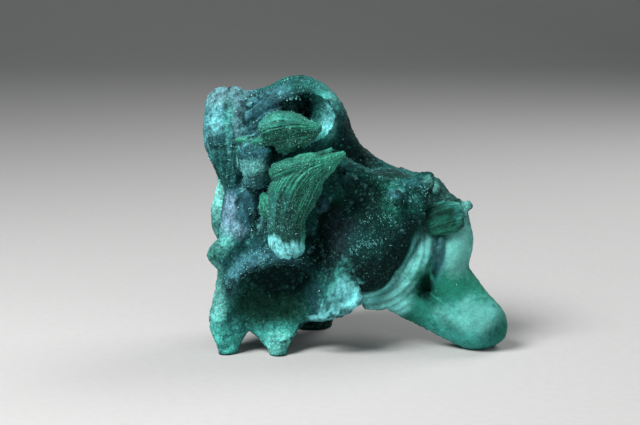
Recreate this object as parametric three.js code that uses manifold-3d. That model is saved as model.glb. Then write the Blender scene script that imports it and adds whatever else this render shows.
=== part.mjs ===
// Malachite specimen: one grown mass of velvety, botryoidal malachite, with three
// pieces of fibrous malachite crystal seated on its front.
//
// Millimetres. +X is to the right, +Y is away from the front, +Z is up. The origin is
// on the surface that the specimen stands on, under the middle of its bounding box.
//
// The mass is drawn as a distance field: rounded lumps and bent limbs run into one
// another, hollows are scooped out of them, and the zero surface of the field is meshed.
// The crystals are lofts of rounded sections along a bent line.

import * as THREE from "three";
import { mergeVertices } from "three/addons/utils/BufferGeometryUtils.js";
import Module from "manifold-3d";

const wasm = await Module();
wasm.setup();

// Driving dimensions.
const MESH_STEP = 1.3; // edge of one cell of the mesh over the mass
const SEAT_GAP = 0.35; // clearance between a crystal and the mass that it sits on
const FIELD_LOW = new THREE.Vector3(-29, -19, -6); // the box that holds the mass
const FIELD_HIGH = new THREE.Vector3(28.5, 18, 47);
const FOOT_DEPTH = 8; // how far the tool that flattens the feet reaches below them
const CURVE_STEPS = 4; // straight stretches in each span of a bent limb
const LOFT_STEPS = 4; // sections in each span of a crystal
const LOFT_SIDES = 18; // corners of each section of a crystal
const NUDGE = 0.05; // value given to a corner of the grid that changes its side

// Finishes.
const VELVET = { color: "#173f40", roughness: 0.9, metalness: 0 };
const FIBRE = { color: "#2c7a5c", roughness: 0.6, metalness: 0 };
const BLOCK = { color: "#12503e", roughness: 0.5, metalness: 0 };

// ---------------------------------------------------------------- distance field

/** A smooth line through points [x, y, z, r, ...], as a list of such points. */
function smoothLine(points, stepsPerSpan) {
  if (points.length === 2) return points;
  const blend = (a, b, c, d, t) =>
    0.5 *
    (2 * b +
      (c - a) * t +
      (2 * a - 5 * b + 4 * c - d) * t ** 2 +
      (3 * b - a - 3 * c + d) * t ** 3);
  const mirror = (end, next) => end.map((value, i) => 2 * value - next[i]);
  const last = points.length - 1;
  const padded = [
    mirror(points[0], points[1]),
    ...points,
    mirror(points[last], points[last - 1]),
  ];
  const line = [];
  for (let span = 0; span < last; span += 1) {
    const [a, b, c, d] = padded.slice(span, span + 4);
    for (let step = 0; step < stepsPerSpan; step += 1) {
      const t = step / stepsPerSpan;
      line.push(b.map((value, i) => blend(a[i], value, c[i], d[i], t)));
    }
  }
  line.push(points[last]);
  return line;
}

/** The malachite as a field: lumps and limbs joined in order, and hollows cut out. */
class GrownField {
  constructor() {
    this.features = [];
  }

  /** Adds an ellipsoid. turn is its rotation about X, Y and Z in degrees. */
  lump(centre, radii, blend, turn = [0, 0, 0], cuts = false) {
    const middle = new THREE.Vector3(...centre);
    const size = new THREE.Vector3(...radii);
    const angles = turn.map(THREE.MathUtils.degToRad);
    const inverse = new THREE.Quaternion()
      .setFromEuler(new THREE.Euler(...angles, "ZYX"))
      .invert();
    const local = new THREE.Vector3();
    const distance = (point) => {
      local.copy(point).sub(middle).applyQuaternion(inverse).divide(size);
      const unit = local.length();
      const slope = local.divide(size).length() + 1e-6;
      return (unit * (unit - 1)) / slope;
    };
    const reach = Math.max(...radii) + blend + MESH_STEP * 3;
    this.features.push({ distance, blend, cuts, middle, reach });
    return this;
  }

  /** Adds a bent limb through points [x, y, z, radius]. */
  limb(points, blend) {
    const line = smoothLine(points, CURVE_STEPS);
    const spans = line.slice(1).map((end, i) => {
      const from = new THREE.Vector3(...line[i]);
      const along = new THREE.Vector3(...end).sub(from);
      return { from, along, square: along.lengthSq() + 1e-9, r0: line[i][3], r1: end[3] };
    });
    const offset = new THREE.Vector3();
    const distance = (point) => {
      let nearest = Infinity;
      for (const { from, along, square, r0, r1 } of spans) {
        offset.copy(point).sub(from);
        const t = THREE.MathUtils.clamp(offset.dot(along) / square, 0, 1);
        const gap = offset.addScaledVector(along, -t).length() - (r0 + t * (r1 - r0));
        nearest = Math.min(nearest, gap);
      }
      return nearest;
    };
    const ends = line.map((p) => new THREE.Vector3(...p));
    const ball = new THREE.Box3().setFromPoints(ends).getBoundingSphere(new THREE.Sphere());
    const widest = Math.max(...line.map((p) => p[3]));
    const reach = ball.radius + widest + blend + MESH_STEP * 3;
    this.features.push({ distance, blend, cuts: false, middle: ball.center, reach });
    return this;
  }

  /** Scoops an ellipsoid out of what has been added so far. */
  hollow(centre, radii, blend, turn) {
    return this.lump(centre, radii, blend, turn, true);
  }

  /** Roughly how far point is outside the malachite; negative inside it. */
  distance(point) {
    const { x, y, z } = point;
    const wavy = new THREE.Vector3(
      x + 0.35 * Math.sin(0.42 * y + 0.31 * z + 1.0),
      y + 0.35 * Math.sin(0.45 * x - 0.37 * z + 0.5),
      z + 0.3 * Math.sin(0.48 * x + 0.32 * y + 2.2),
    );
    let value = 2 * MESH_STEP;
    for (const feature of this.features) {
      if (wavy.distanceTo(feature.middle) > feature.reach) continue;
      const own = feature.distance(wavy);
      const other = feature.cuts ? -own : own;
      const overlap = Math.max(feature.blend - Math.abs(value - other), 0);
      const fillet = overlap ** 2 / (4 * feature.blend);
      value = feature.cuts ? Math.max(value, other) + fillet : Math.min(value, other) - fillet;
    }
    return value;
  }
}

// ---------------------------------------------------------------- meshing the field

const CORNERS = [0, 1, 2, 3, 4, 5, 6, 7].map((n) => [n & 1, (n >> 1) & 1, n >> 2]);
const CELL_EDGES = CORNERS.flatMap((a, i) =>
  CORNERS.map((b, j) => [i, j]).filter(
    ([, j]) => j > i && a.reduce((sum, v, k) => sum + Math.abs(v - CORNERS[j][k]), 0) === 1,
  ),
);

/**
 * Two pieces of surface may not meet along one line. Where the signs at the corners of a
 * square of the grid alternate, the corner nearest to the surface changes its sign.
 */
function openPinches(values, count, at) {
  const steps = [[1, 0, 0], [0, 1, 0], [0, 0, 1]];
  let changed = true;
  while (changed) {
    changed = false;
    for (let k = 0; k + 1 < count[2]; k += 1)
      for (let j = 0; j + 1 < count[1]; j += 1)
        for (let i = 0; i + 1 < count[0]; i += 1)
          for (const [u, v] of [[0, 1], [1, 2], [2, 0]]) {
            const [p, q] = [steps[u], steps[v]];
            const square = [
              at(i, j, k),
              at(i + p[0], j + p[1], k + p[2]),
              at(i + p[0] + q[0], j + p[1] + q[1], k + p[2] + q[2]),
              at(i + q[0], j + q[1], k + q[2]),
            ];
            const [a, b, c, d] = square.map((n) => values[n] < 0);
            if (a !== c || b !== d || a === b) continue;
            const weak = square.reduce((m, n) => (Math.abs(values[n]) < Math.abs(values[m]) ? n : m));
            values[weak] = values[weak] < 0 ? NUDGE : -NUDGE;
            changed = true;
          }
  }
}

/** The zero surface of the field as a closed geometry of naive surface nets. */
function meshField(field) {
  const span = FIELD_HIGH.clone().sub(FIELD_LOW).divideScalar(MESH_STEP).ceil();
  const count = [span.x + 1, span.y + 1, span.z + 1];
  const at = (i, j, k) => i + count[0] * (j + count[1] * k);
  const place = (i, j, k) => new THREE.Vector3(i, j, k).multiplyScalar(MESH_STEP).add(FIELD_LOW);
  const values = new Float64Array(count[0] * count[1] * count[2]);
  const forEachNode = (visit) => {
    for (let k = 0; k < count[2]; k += 1)
      for (let j = 0; j < count[1]; j += 1) for (let i = 0; i < count[0]; i += 1) visit(i, j, k);
  };
  forEachNode((i, j, k) => {
    values[at(i, j, k)] = field.distance(place(i, j, k));
  });
  openPinches(values, count, at);

  const positions = [];
  const vertexOf = new Map();
  forEachNode((i, j, k) => {
    if (i === count[0] - 1 || j === count[1] - 1 || k === count[2] - 1) return;
    const corner = CORNERS.map(([a, b, c]) => values[at(i + a, j + b, k + c)]);
    const crossings = CELL_EDGES.filter(([a, b]) => corner[a] < 0 !== corner[b] < 0);
    if (!crossings.length) return;
    const middle = new THREE.Vector3();
    for (const [a, b] of crossings) {
      const from = new THREE.Vector3(...CORNERS[a]);
      const to = new THREE.Vector3(...CORNERS[b]);
      middle.add(from.lerp(to, corner[a] / (corner[a] - corner[b])));
    }
    middle.divideScalar(crossings.length).multiplyScalar(MESH_STEP).add(place(i, j, k));
    vertexOf.set(at(i, j, k), positions.length / 3);
    positions.push(...middle.toArray());
  });

  const corners = [];
  const point = (n) => new THREE.Vector3().fromArray(positions, 3 * n);
  const addQuad = (a, b, c, d) => {
    const acrossFirst = point(a).distanceTo(point(c)) < point(b).distanceTo(point(d));
    corners.push(...(acrossFirst ? [a, b, c, a, c, d] : [a, b, d, b, c, d]));
  };
  const steps = [[1, 0, 0], [0, 1, 0], [0, 0, 1]];
  forEachNode((i, j, k) => {
    if (i * j * k === 0) return;
    steps.forEach((step, axis) => {
      const next = [i + step[0], j + step[1], k + step[2]];
      if (next.some((n, side) => n >= count[side])) return;
      const inside = values[at(i, j, k)] < 0;
      if (inside === values[at(...next)] < 0) return;
      const u = steps[(axis + 1) % 3];
      const v = steps[(axis + 2) % 3];
      const cell = (a, b) =>
        vertexOf.get(at(...[i, j, k].map((n, side) => n - a * u[side] - b * v[side])));
      const ring = [cell(1, 1), cell(0, 1), cell(0, 0), cell(1, 0)];
      addQuad(...(inside ? ring : ring.reverse()));
    });
  });
  return new THREE.BufferGeometry()
    .setAttribute("position", new THREE.Float32BufferAttribute(positions, 3))
    .setIndex(corners);
}

// ---------------------------------------------------------------- joins and cuts

/** A closed geometry as a manifold-3d solid. */
function solidOf(geometry) {
  const bare = geometry.clone();
  bare.deleteAttribute("normal");
  bare.deleteAttribute("uv");
  const merged = mergeVertices(bare, 1e-4);
  return new wasm.Manifold(
    new wasm.Mesh({
      numProp: 3,
      vertProperties: merged.attributes.position.array,
      triVerts: new Uint32Array(merged.index.array),
    }),
  );
}

/** A manifold-3d solid as a geometry. */
function geometryOf(solid) {
  const mesh = solid.getMesh();
  const geometry = new THREE.BufferGeometry()
    .setAttribute("position", new THREE.BufferAttribute(mesh.vertProperties, 3))
    .setIndex(new THREE.BufferAttribute(mesh.triVerts, 1));
  geometry.computeVertexNormals();
  return geometry;
}

/** The largest of a solid's separate bodies. */
function largestBody(solid) {
  return solid.decompose().reduce((a, b) => (a.volume() > b.volume() ? a : b));
}

// ---------------------------------------------------------------- the mass

/** The bulk behind the front features. */
function addBulk(field) {
  field.lump([-5, 4, 22], [11, 7.5, 13], 3);
  field.lump([-12, 2.5, 33.5], [9, 6.5, 7.5], 3);
  field.lump([7, 3.5, 21.5], [9.5, 6.5, 7.5], 3);
}

/** The banded layer that the dark nodule sits in, and the smooth roll at its edge. */
function addCollar(field) {
  field.lump([3.2, 0.8, 16.6], [11.3, 6.6, 10.4], 1.2, [0, 20, 0]);
  field.limb(
    [
      [12.4, -3.8, 20.4, 1.4],
      [12, -4.7, 17.4, 1.8],
      [10.9, -4.9, 14.4, 2],
      [9.1, -4.8, 11.4, 2.1],
      [7, -4.6, 9, 1.9],
      [4.8, -4.2, 7.6, 1.5],
      [2.6, -4, 7.4, 1.2],
    ],
    0.9,
  );
}

/** The hood at the top: its crown, its scooped mouth and the wall on the right. */
function addHood(field) {
  field.lump([-8.8, 0.2, 37.6], [7.6, 7.6, 6.6], 1.5, [0, 12, 0]);
  field.limb(
    [
      [-17.2, -1, 40, 2.2],
      [-13, 0.2, 41.2, 2.2],
      [-9, 0.6, 42.2, 2.1],
      [-5.4, -0.3, 40.8, 2],
      [-3.3, -1.2, 37.8, 2],
      [-2.3, 0, 34.4, 2.2],
      [0.2, 0.8, 30.8, 2],
    ],
    1.5,
  );
  field.hollow([-8.2, -10.4, 38], [5.6, 8.6, 4.8], 1.6, [6, 14, 0]);
  field.hollow([-9.6, -6, 38.8], [3, 6.4, 3.2], 1.6, [0, 10, 0]);
}

/** Two rounded ridges side by side at the upper left. */
function addBrow(field) {
  field.limb(
    [
      [-21.8, -0.8, 40.2, 2.7],
      [-22.4, -3, 36.6, 3],
      [-21, -3.6, 31.5, 2.6],
      [-19.6, -3, 27, 2],
    ],
    0.8,
  );
  field.limb(
    [
      [-19.4, -1.4, 41, 2],
      [-19.2, -4.4, 36.6, 2.4],
      [-18.4, -5, 31, 2.2],
    ],
    0.6,
  );
}

/** Worm-like folds beside the mouth of the hood, and the rough lump below them. */
function addFolds(field) {
  field.limb(
    [
      [-17.2, -7.2, 34.2, 1.2],
      [-14.9, -8.8, 36, 1.2],
      [-12.2, -8.4, 38, 1.2],
      [-10.8, -6.6, 39.2, 0.9],
    ],
    0.4,
  );
  field.limb(
    [
      [-17, -6.2, 36.2, 1.2],
      [-14.9, -7.7, 38, 1.2],
      [-12, -6.9, 39.8, 1.2],
      [-9.8, -4.6, 41, 1],
    ],
    0.4,
  );
  field.limb(
    [
      [-17.4, -4.8, 38, 1.1],
      [-15.4, -6.2, 39.8, 1.1],
      [-12.6, -5, 41.4, 1.1],
      [-9, -2.6, 42.4, 0.9],
    ],
    0.4,
  );
  field.lump([-16, -7.6, 31.2], [2.8, 3, 3.6], 0.7);
  field.limb(
    [
      [-14.5, -8.2, 28.6, 1.6],
      [-16.8, -7.6, 28, 1.6],
    ],
    0.8,
  );
}

/** Folds that hang like drapery down the left side, and the pale layer behind them. */
function addDrapery(field) {
  field.limb(
    [
      [-21, 3, 31, 2.1],
      [-21.6, 3, 25, 2.1],
      [-20.9, 2, 18, 2.6],
    ],
    2.5,
  );
  field.limb(
    [
      [-18.6, -1.5, 28.5, 1.9],
      [-19.6, -3.8, 23.5, 2.2],
      [-20.6, -5.4, 18, 2.6],
    ],
    0.7,
  );
  field.limb(
    [
      [-15.6, -3, 28.5, 2.2],
      [-16.6, -5.2, 23.5, 2.3],
      [-18.6, -6.8, 18.4, 2.3],
    ],
    0.6,
  );
  field.limb(
    [
      [-12.2, -3.4, 28, 2.6],
      [-13.2, -5.4, 22.5, 2.6],
      [-15.5, -7, 17.6, 2.4],
    ],
    0.6,
  );
  field.lump([-10.8, -7.6, 24], [2.2, 3, 4], 1);
  field.lump([-21, -6.4, 16.4], [3.1, 3, 2.8], 1);
}

/** The flaring skirt at the lower left: two pointed feet, a rim and a scooped front. */
function addSkirt(field) {
  field.lump([-11.8, -4.8, 11], [11.2, 6, 7.6], 2, [0, -6, 0]);
  field.lump([-20.4, -7.4, 6.2], [3.5, 2.8, 5.6], 1.5, [-14, 12, 0]);
  field.limb(
    [
      [-21, -8.6, 4.6, 2.6],
      [-20.7, -10.2, -0.3, 1.5],
    ],
    1.6,
  );
  field.lump([-13.6, -7.4, 6.2], [4.4, 3, 4.8], 1.5, [-14, 0, 0]);
  field.lump([-13.8, -9.2, 3.9], [3.5, 2, 3], 1);
  field.limb(
    [
      [-13.2, -9.2, 3.2, 2.6],
      [-12.3, -10.5, -0.3, 1.4],
    ],
    1.4,
  );
  field.limb(
    [
      [-21.8, -8, 8.5, 0.9],
      [-20.4, -9.6, 12, 1.2],
      [-15.6, -10.6, 15.4, 1.6],
      [-9.4, -9.4, 17, 1.5],
    ],
    1,
  );
  field.hollow([-11.3, -14.8, 8.7], [11.2, 8, 7], 1.8, [0, -8, -3]);
  field.hollow([-12.4, -11, 11], [7.4, 5, 4], 1.8, [0, -8, 0]);
}

/** The leaf-like lip at the skirt's right, and its thick edge. */
function addLip(field) {
  field.lump([-4.2, -9.3, 10.6], [4.6, 1.6, 5.2], 1.2, [0, 8, -22]);
  field.limb(
    [
      [-8, -10.2, 6.2, 1.1],
      [-4.4, -11.2, 7.1, 1.1],
      [-1, -11.6, 8, 1.1],
      [0.4, -11.4, 9.6, 1.1],
      [-0.8, -10.5, 12.2, 1.1],
      [-2.8, -9.2, 15, 1],
    ],
    1.2,
  );
}

/** The dark round nodule in the middle, and the shadowed recess at its left. */
function addNodule(field) {
  field.lump([1.2, -2.8, 17], [8.2, 7.6, 9.2], 0.4, [0, 15, 0]);
  field.hollow([-7, -9, 22], [2, 4.5, 5.6], 1);
}

/** The spur that points to the right, the crest behind it and the beads below it. */
function addHorn(field) {
  field.limb(
    [
      [-2.6, -4.6, 31, 1.5],
      [2.2, -6.4, 29.2, 1.4],
      [7, -7.6, 27.2, 1.3],
      [12, -8.8, 28.7, 1.1],
    ],
    0.8,
  );
  field.limb(
    [
      [11.7, -8, 27.6, 1.2],
      [9.6, -6.8, 24, 2.1],
      [7.6, -6, 20, 2],
    ],
    1.6,
  );
  field.lump([4.6, -2.8, 24.6], [7.4, 4.6, 4.8], 1.5);
  field.limb(
    [
      [1.4, 1.4, 29.4, 1.8],
      [6, 1, 27.4, 1.7],
      [12, -0.2, 25.4, 1.6],
    ],
    1.2,
  );
  field.lump([-0.8, -7, 27.6], [1.7, 1.7, 1.7], 0.4);
  field.lump([6.2, -8.6, 26.1], [1.4, 1.4, 1.4], 0.4);
  field.lump([-6, -8.4, 24.6], [1.5, 1.5, 1.5], 0.4);
}

/** The shoulder at the right, with its two small points. */
function addShoulder(field) {
  field.lump([14.2, 0, 21.2], [4.8, 4.6, 4.6], 2);
  field.limb(
    [
      [13.2, 0.4, 24, 1.7],
      [14.7, 0.2, 25.7, 0.9],
    ],
    0.8,
  );
  field.limb(
    [
      [15.5, -1, 21.8, 1.8],
      [18.9, -2, 22.9, 0.7],
    ],
    1,
  );
}

/** The smooth column at the right that runs down into the finger-like foot. */
function addFoot(field) {
  field.limb(
    [
      [16.4, -2, 22, 2.6],
      [16.2, -3.4, 17.5, 3.2],
      [15.7, -4.3, 12.4, 3.3],
      [17.9, -5, 8.2, 3.9],
      [20.8, -5.6, 4, 4.6],
    ],
    0.8,
  );
  field.limb(
    [
      [4, -1, 10, 2.4],
      [8, -2.6, 7.8, 3],
      [13, -4, 5.8, 3.3],
      [19, -5.2, 4.2, 4.2],
    ],
    0.8,
  );
  field.lump([11.5, 0.5, 12], [4.5, 4, 5], 1);
  field.limb(
    [
      [12.2, -6.6, 8.8, 0.8],
      [13.6, -7.4, 7.2, 1.1],
      [15.6, -7.8, 5.6, 1.5],
      [18.4, -7.6, 5, 2],
    ],
    1,
  );
}

/** The back: the leg that props the specimen up, rounded knobs and a shallow bowl. */
function addBack(field) {
  field.limb(
    [
      [-5, 4, 13, 6],
      [-6.4, 7.5, 7, 4.6],
      [-7.4, 9.2, -0.4, 3.1],
    ],
    2,
  );
  field.limb(
    [
      [-12, 5.5, 13, 4.5],
      [-12, 8, 7, 3.2],
      [-10.4, 9, 2.6, 2],
    ],
    0.8,
  );
  field.lump([5.5, 6.6, 23], [7.4, 5.6, 6], 0.7, [0, 25, 0]);
  field.lump([-13, 6.6, 28], [6.8, 5, 6.4], 0.7, [0, 20, 0]);
  field.lump([-15, 4.8, 18.4], [6, 5, 7], 0.7, [0, -15, 0]);
  field.lump([9, 4.5, 14.5], [5.4, 4.8, 5], 0.7);
  field.lump([-3.6, 6.6, 31.4], [4.4, 3.8, 5.4], 0.6, [0, -30, 0]);
  field.lump([-15.5, 3.6, 36.6], [4.8, 3.6, 4], 0.6, [0, 30, 0]);
  field.lump([-2, 9.4, 17.4], [4.6, 3, 3.4], 0.5, [0, 20, 0]);
  field.lump([12.6, 4.4, 21.4], [3, 2.8, 3], 0.5);
  field.hollow([-4.5, 14.6, 25.2], [4.6, 3.4, 3.6], 0.6, [0, 12, 0]);
}

/** The whole mass as one field. */
function buildMassField() {
  const field = new GrownField();
  addBulk(field);
  addCollar(field);
  addHood(field);
  addBrow(field);
  addFolds(field);
  addDrapery(field);
  addSkirt(field);
  addNodule(field);
  addLip(field);
  addHorn(field);
  addShoulder(field);
  addFoot(field);
  addBack(field);
  return field;
}

// ---------------------------------------------------------------- the crystals

/**
 * A closed loft along a bent line through [x, y, z, across, deep]. across and deep are
 * half sizes of its rounded section, deep being the one nearest to Y. grow thickens it.
 */
function loft(spine, squareness, grow = 0) {
  const line = smoothLine(spine, LOFT_STEPS);
  const centres = line.map((p) => new THREE.Vector3(...p));
  const stretch = (end, inner) => end.add(end.clone().sub(inner).setLength(grow));
  stretch(centres[0], centres[1]);
  stretch(centres.at(-1), centres.at(-2));
  const positions = [];
  const corners = [];
  const superellipse = (value) => Math.sign(value) * Math.abs(value) ** (2 / squareness);
  line.forEach(([, , , across, deep], i) => {
    const before = centres[Math.max(i - 1, 0)];
    const after = centres[Math.min(i + 1, centres.length - 1)];
    const run = after.clone().sub(before).normalize();
    const wide = run.clone().cross(new THREE.Vector3(0, 1, 0)).normalize();
    const thick = wide.clone().cross(run);
    for (let side = 0; side < LOFT_SIDES; side += 1) {
      const angle = (2 * Math.PI * side) / LOFT_SIDES;
      const corner = centres[i]
        .clone()
        .addScaledVector(wide, superellipse(Math.cos(angle)) * (across + grow))
        .addScaledVector(thick, superellipse(Math.sin(angle)) * (deep + grow));
      positions.push(...corner.toArray());
    }
  });
  const ring = (i, side) => i * LOFT_SIDES + (side % LOFT_SIDES);
  for (let i = 0; i + 1 < line.length; i += 1)
    for (let side = 0; side < LOFT_SIDES; side += 1) {
      const [a, b] = [ring(i, side), ring(i, side + 1)];
      const [c, d] = [ring(i + 1, side + 1), ring(i + 1, side)];
      corners.push(a, c, b, a, d, c);
    }
  const capAt = (i, outward) => {
    const centre = positions.push(...centres[i].toArray()) / 3 - 1;
    for (let side = 0; side < LOFT_SIDES; side += 1) {
      const pair = [ring(i, side), ring(i, side + 1)];
      corners.push(centre, ...(outward ? pair.reverse() : pair));
    }
  };
  capAt(0, false);
  capAt(line.length - 1, true);
  return new THREE.BufferGeometry()
    .setAttribute("position", new THREE.Float32BufferAttribute(positions, 3))
    .setIndex(corners);
}

// Each crystal is one or more lofts that run into each other. The fibres of a fan spread
// from its point at the right.
const UPPER_FAN = {
  squareness: 2.3,
  spines: [
    [
      [-5.4, -11.9, 37.57, 0.35, 0.35],
      [-7.6, -11.7, 37.57, 1.2, 1.1],
      [-10, -10.9, 37.57, 2.1, 2],
      [-12.6, -10.1, 37.27, 2.55, 2.5],
      [-14.4, -9.5, 36.67, 1.7, 1.9],
      [-15, -9.2, 36.27, 0.6, 0.8],
    ],
    [
      [-5.6, -11.8, 37.27, 0.3, 0.3],
      [-7.8, -11.3, 36.07, 1.2, 1.2],
      [-10, -10.7, 35.27, 1.5, 1.6],
      [-11.8, -10.1, 34.77, 1.5, 1.6],
      [-12.9, -9.7, 34.57, 0.7, 0.8],
    ],
    [
      [-19.3, -6.8, 34.93, 0.35, 0.5],
      [-16.6, -7.9, 34.97, 0.75, 0.9],
      [-13.6, -9.5, 35.57, 1.1, 1.6],
      [-11.6, -10.1, 35.87, 1, 1.6],
    ],
  ],
};
const LOWER_FAN = {
  squareness: 2.4,
  spines: [
    [
      [-1.9, -11.8, 32.88, 0.5, 0.5],
      [-4.6, -12.15, 31.81, 1.7, 1.3],
      [-7.6, -12.02, 30.26, 3.3, 2.3],
      [-9.9, -11.68, 27.08, 3.9, 3],
      [-11.1, -11.4, 22.73, 3, 3.1],
      [-11, -11.4, 19.33, 2.8, 2.9],
      [-10.6, -11.48, 17.11, 2.4, 2.3],
      [-10.4, -11.53, 16.3, 1.2, 1.2],
    ],
    [
      [-3.4, -12, 32.25, 0.5, 0.6],
      [-6.2, -12.01, 31.69, 1.1, 1.5],
      [-9.4, -12.04, 31.15, 1.5, 2.2],
      [-12, -11.9, 30.13, 1.8, 2],
      [-13.2, -11.6, 29.43, 1.2, 1.2],
    ],
    [
      [-15, -8.6, 26.2, 0.5, 0.7],
      [-13.6, -9.6, 24.4, 2.2, 1.1],
      [-11, -10.6, 23, 2.6, 1.6],
    ],
  ],
};
const SIDE_BLOCK = {
  squareness: 4.5,
  spines: [
    [
      [12.6, -5.3, 21.5, 1.8, 1.6],
      [13.9, -5.6, 21.7, 2.3, 1.95],
      [15.2, -5.7, 22, 2.4, 2],
      [16.5, -5.5, 22.3, 2.3, 1.95],
      [17.7, -5.1, 22.5, 1.8, 1.6],
    ],
  ],
};

/** The solid of a crystal, thickened by grow. */
function crystalSolid({ spines, squareness }, grow = 0) {
  return spines.map((spine) => solidOf(loft(spine, squareness, grow))).reduce((a, b) => a.add(b));
}

// ---------------------------------------------------------------- the specimen

const crystals = {
  upper_crystal_fan: { shape: UPPER_FAN, finish: FIBRE },
  lower_crystal_fan: { shape: LOWER_FAN, finish: FIBRE },
  side_crystal_block: { shape: SIDE_BLOCK, finish: BLOCK },
};

/** The mass, cut flat under its feet and scooped where the crystals sit. */
function buildMass() {
  const size = FIELD_HIGH.clone().sub(FIELD_LOW);
  const ground = new THREE.BoxGeometry(size.x, size.y, FOOT_DEPTH);
  ground.translate(0, 0, -FOOT_DEPTH / 2);
  const cuts = Object.values(crystals).map(({ shape }) => crystalSolid(shape, SEAT_GAP));
  const whole = solidOf(meshField(buildMassField()));
  return largestBody([solidOf(ground), ...cuts].reduce((mass, cut) => mass.subtract(cut), whole));
}

/** A named mesh with its own material. */
function namedMesh(name, solid, finish) {
  const mesh = new THREE.Mesh(geometryOf(solid), new THREE.MeshStandardMaterial(finish));
  mesh.name = name;
  return mesh;
}

const specimen = new THREE.Group();
specimen.add(namedMesh("malachite_mass", buildMass(), VELVET));
for (const [name, { shape, finish }] of Object.entries(crystals))
  specimen.add(namedMesh(name, crystalSolid(shape), finish));
const middle = new THREE.Box3().setFromObject(specimen).getCenter(new THREE.Vector3());
specimen.position.set(-middle.x, -middle.y, 0);

export default specimen;
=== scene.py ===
"""The looks of a malachite specimen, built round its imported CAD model.

The specimen is one grown mass of velvety malachite with three fibrous malachite crystals
on its front and a dusting of tiny sparkling crystals. Shapes are written in millimetres
in the maker's frame, whose origin is under the hood, and are moved into the CAD frame by
the mass's own box.
"""

from __future__ import annotations

import logging
import math
from dataclasses import dataclass, field
from enum import Enum
from functools import cached_property

import bpy
import numpy as np
import openvdb
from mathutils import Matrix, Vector, noise


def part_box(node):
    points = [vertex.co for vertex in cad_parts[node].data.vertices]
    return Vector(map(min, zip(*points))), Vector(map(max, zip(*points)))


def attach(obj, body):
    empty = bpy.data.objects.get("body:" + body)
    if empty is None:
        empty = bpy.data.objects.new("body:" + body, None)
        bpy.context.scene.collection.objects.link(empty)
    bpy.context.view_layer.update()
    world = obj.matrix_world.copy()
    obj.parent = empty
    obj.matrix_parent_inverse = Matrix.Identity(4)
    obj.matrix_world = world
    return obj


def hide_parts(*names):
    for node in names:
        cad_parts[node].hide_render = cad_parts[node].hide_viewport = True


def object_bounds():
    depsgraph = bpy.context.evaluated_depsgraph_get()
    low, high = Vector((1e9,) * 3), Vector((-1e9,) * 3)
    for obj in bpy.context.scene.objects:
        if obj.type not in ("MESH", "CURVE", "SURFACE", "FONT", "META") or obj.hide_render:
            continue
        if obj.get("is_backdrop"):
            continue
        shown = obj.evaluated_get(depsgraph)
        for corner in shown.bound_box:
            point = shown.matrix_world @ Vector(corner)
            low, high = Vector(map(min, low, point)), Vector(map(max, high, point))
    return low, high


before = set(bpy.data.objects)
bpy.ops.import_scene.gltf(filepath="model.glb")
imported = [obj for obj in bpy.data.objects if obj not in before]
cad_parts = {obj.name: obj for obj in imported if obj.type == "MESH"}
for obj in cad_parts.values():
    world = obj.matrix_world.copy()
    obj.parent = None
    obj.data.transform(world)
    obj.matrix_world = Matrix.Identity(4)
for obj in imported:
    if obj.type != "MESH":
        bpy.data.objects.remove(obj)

LOG = logging.getLogger("malachite")
MM = 0.001

Triple = tuple[float, float, float]
Quad = tuple[float, float, float, float]
Array = np.ndarray


# ------------------------------------------------------------------ colours and nodes


class Tone(Enum):
    """The colours of malachite, as sRGB hex."""

    PITCH = "#031012"  # nearly black velvet, and painted shade in hollows, creases, grooves and gaps
    NIGHT = "#0b1c1f"  # the dark nodule; painted shade behind fans, above the block, under the back
    DUSK = "#26323b"  # the grey bloom on the nodule's shoulder
    SLATE = "#234854"  # blue-grey velvet
    TEAL = "#1a5350"  # the common dark teal
    BOTTLE = "#0d4136"  # dark bottle green
    MOSS = "#163d30"  # brownish green
    GREEN = "#1f7460"  # bright leaf green
    LEAF = "#2b8069"  # the brighter green of bare fibres
    JADE = "#3f9f95"  # smooth jade
    MINT = "#74c9c0"  # pale broken edges, and painted highlights and painted glints
    ICE = "#7cd6da"  # the palest cyan
    STEEL = "#457f8b"  # grey-blue on worn ridges
    HIGHLIGHT_BLUE = "#76a8b2"  # pale grey-blue laid as a painted highlight on the brow's ridges
    LAVENDER = "#7397ac"  # a faint violet cast


def linear(colour: str) -> Triple:
    """Turns an sRGB hex colour into linear light.

    Args:
        colour: The colour as "#rrggbb".

    Returns:
        Its red, green and blue in linear light.
    """
    parts = [int(colour[i : i + 2], 16) / 255 for i in (1, 3, 5)]
    return tuple(p / 12.92 if p <= 0.04045 else ((p + 0.055) / 1.055) ** 2.4 for p in parts)


def add_node(
    tree: bpy.types.NodeTree, kind: str, settings: dict[str, object] | None = None, **inputs: object
) -> bpy.types.Node:
    """Adds a node, sets it up and links what feeds it.

    Args:
        tree: The node tree that gets the node.
        kind: The node's type name without its ShaderNode prefix.
        settings: The node's own properties.
        inputs: Values, or sockets to link, by socket name with _ for a space. A name
            that ends in a number picks the socket by its place instead.

    Returns:
        The new node.
    """
    node = tree.nodes.new("ShaderNode" + kind)
    for name, value in (settings or {}).items():
        setattr(node, name, value)
    for name, value in inputs.items():
        key = int(name[5:]) if name.startswith("input") else name.replace("_", " ")
        socket = node.inputs[key]
        if isinstance(value, bpy.types.NodeSocket):
            tree.links.new(value, socket)
        else:
            socket.default_value = value
    return node


def new_mesh(name: str, points: list, faces: list) -> bpy.types.Mesh:
    """Makes a mesh.

    Args:
        name: The mesh's name.
        points: Its points, in metres.
        faces: The numbers of the points of each face.

    Returns:
        The new mesh.
    """
    mesh = bpy.data.meshes.new(name)
    mesh.from_pydata(points, [], faces)
    mesh.update()
    return mesh


def new_object(name: str, data: bpy.types.ID) -> bpy.types.Object:
    """Puts a mesh, a lamp or a lens into the scene.

    Args:
        name: The object's name.
        data: What it holds.

    Returns:
        The new object.
    """
    made = bpy.data.objects.new(name, data)
    bpy.context.scene.collection.objects.link(made)
    return made


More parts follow.
